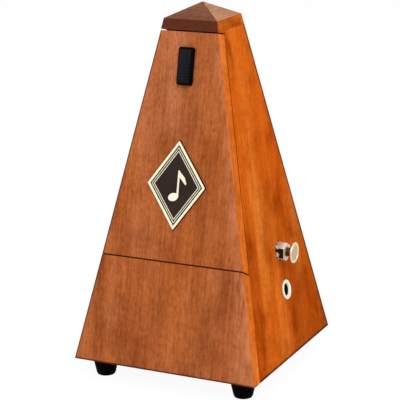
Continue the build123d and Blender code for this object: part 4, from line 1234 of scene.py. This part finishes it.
@dataclass
class Movement:
    """Finishes of the works and the inside of the case."""

    finishes: dict[Finish, tuple[str, ...]] = field(
        default_factory=lambda: {
            Finish.PLAIN_WOOD: ("base_board", "cap_plug", "glue_blocks", "scale_board"),
            Finish.SCALE: ("scale_plate",),
            Finish.BRASS: (
                "pendulum_hub", "pendulum_bob", "barrel_drum", "great_wheel", "barrel_cover",
                "second_wheel", "escape_wheel", "beat_cams", "hammer_head", "left_plate", "right_plate",
                "front_bearing", "rear_bearing",
            ),
            Finish.BLUED: ("latch_keeper", "click_spring", "mainspring", "weight_clip"),
            Finish.NICKEL: ("bell", "bell_nut"),
            Finish.STEEL: (
                "tongue_screws", "cover_tongues", "frame_screws", "plate_screws", "plate_pillars", "pendulum_arbor",
                "pallets", "winding_arbor", "ratchet_wheel", "second_arbor", "escape_arbor", "pull_collars",
                "hammer_arm", "bell_post", "scale_screws", "rod_clip", "pendulum_rod",
            ),
        }
    )

    def build(self) -> None:
        """Dress every node of the works."""
        for finish, nodes in self.finishes.items():
            for node in nodes:
                Bench.dress(node, finish)


@dataclass
class Studio:
    """Camera, soft lights, pale floor and white surroundings; each lamp has a name, a place, a width and a power."""

    azimuth: float = math.radians(25.378)
    elevation: float = math.radians(15.078)
    distance: float = 952.1 * MM
    aim: Pair = (-2.41 * MM, 102.34 * MM)
    roll: float = -0.00695
    sensor: float = 36.0
    focal_pixels: float = 1585.0
    image_pixels: int = 400
    ambient: float = 0.5
    floor_size: float = 6.0
    floor_colour: Tint = (0.95, 0.95, 0.95, 1.0)
    floor_white: float = 1.03
    floor_glow: float = 0.91
    lamps: tuple[tuple[str, Triple, float, float], ...] = (
        ("key_light", (0.7, -1.3, 1.5), 1.2, 18.0),
        ("fill_light", (-1.4, -1.0, 0.8), 1.4, 7.5),
        ("right_light", (1.6, 0.2, 0.9), 1.2, 8.5),
    )

    def build(self) -> None:
        """Set up everything round the metronome."""
        bpy.context.scene.view_settings.view_transform = "Standard"
        self.camera()
        self.world()
        self.floor()
        for lamp in self.lamps:
            self.lamp(*lamp)

    def camera(self) -> None:
        """Stand the camera where the photograph was taken from."""
        across, height = self.aim
        turn = Matrix.Rotation(self.azimuth, 4, "Z") @ Matrix.Rotation(math.pi / 2 - self.elevation, 4, "X")
        stand = Matrix.Translation((0, 0, height)) @ turn @ Matrix.Translation((across, 0, self.distance))
        data = bpy.data.cameras.new("camera")
        data.lens = self.sensor * self.focal_pixels / self.image_pixels
        data.sensor_width = self.sensor
        camera = bpy.data.objects.new("camera", data)
        camera.matrix_world = stand @ Matrix.Rotation(self.roll, 4, "Z")
        bpy.context.collection.objects.link(camera)
        bpy.context.scene.camera = camera

    def seen_directly(self, tree: Tree) -> Socket:
        """Tell the rays that come from the camera, a mirror or glass.

        Args:
            tree: The floor's or the world's tree.

        Returns:
            A socket with one for such a ray and zero for any other.
        """
        path = tree.add("LightPath").outputs
        plain = tree.sum("MAXIMUM", path["Is Camera Ray"], path["Is Glossy Ray"])
        return tree.sum("MAXIMUM", plain, path["Is Transmission Ray"])

    def world(self) -> None:
        """White where it is seen, and a soft even light elsewhere."""
        world = bpy.data.worlds.new("surroundings")
        bpy.context.scene.world = world
        tree = Tree(world)
        strength = tree.spread(self.seen_directly(tree), 0, 1, self.ambient, 1.0)
        light = tree.add("Background", {"Color": (*WHITE, 1.0), "Strength": strength})
        tree.surface(light.outputs[0], "OutputWorld")

    def floor(self) -> None:
        """A pale floor that stays white and keeps a light shadow."""
        mesh = bmesh.new()
        Bench.rectangle(mesh, self.floor_size, self.floor_size)
        data = bpy.data.meshes.new("floor")
        mesh.to_mesh(data)
        mesh.free()
        floor = bpy.data.objects.new("floor", data)
        bpy.context.collection.objects.link(floor)
        material = bpy.data.materials.new("pale_floor")
        tree = Tree(material)
        matt = tree.add("BsdfDiffuse", {"Color": self.floor_colour})
        glow = tree.add("Emission", {"Color": (*WHITE, 1.0), "Strength": self.floor_white})
        share = tree.spread(self.seen_directly(tree), 0, 1, 0, self.floor_glow)
        mix = tree.add("MixShader", {0: share, 1: matt.outputs[0], 2: glow.outputs[0]})
        tree.surface(mix.outputs[0])
        data.materials.append(material)

    def lamp(self, name: str, place: Triple, size: float, power: float) -> None:
        """Add a soft square lamp that looks at the middle of the case.

        Args:
            name: The lamp's name.
            place: Where it stands, in metres.
            size: Its width, in metres.
            power: Its power, in watts.
        """
        data = bpy.data.lights.new(name, "AREA")
        data.size = size
        data.energy = power
        lamp = bpy.data.objects.new(name, data)
        lamp.location = place
        toward = Vector((0, 0, CASE.shell / 2)) - Vector(place)
        lamp.rotation_euler = toward.to_track_quat("-Z", "Y").to_euler()
        bpy.context.collection.objects.link(lamp)


def main() -> None:
    """Build the dressing and the studio, and log each assembly as it is built."""
    logging.basicConfig(level=logging.INFO, format="%(message)s")
    for assembly in (
        Boards(), CoverLatch(), Badge(), KeyEyelet(), BellPull(), Feet(), TempoScale(), SlidingWeight(), Movement(),
        Studio(),
    ):
        log.info("building %s", type(assembly).__name__)
        assembly.build()


if __name__ == "__main__":
    main()
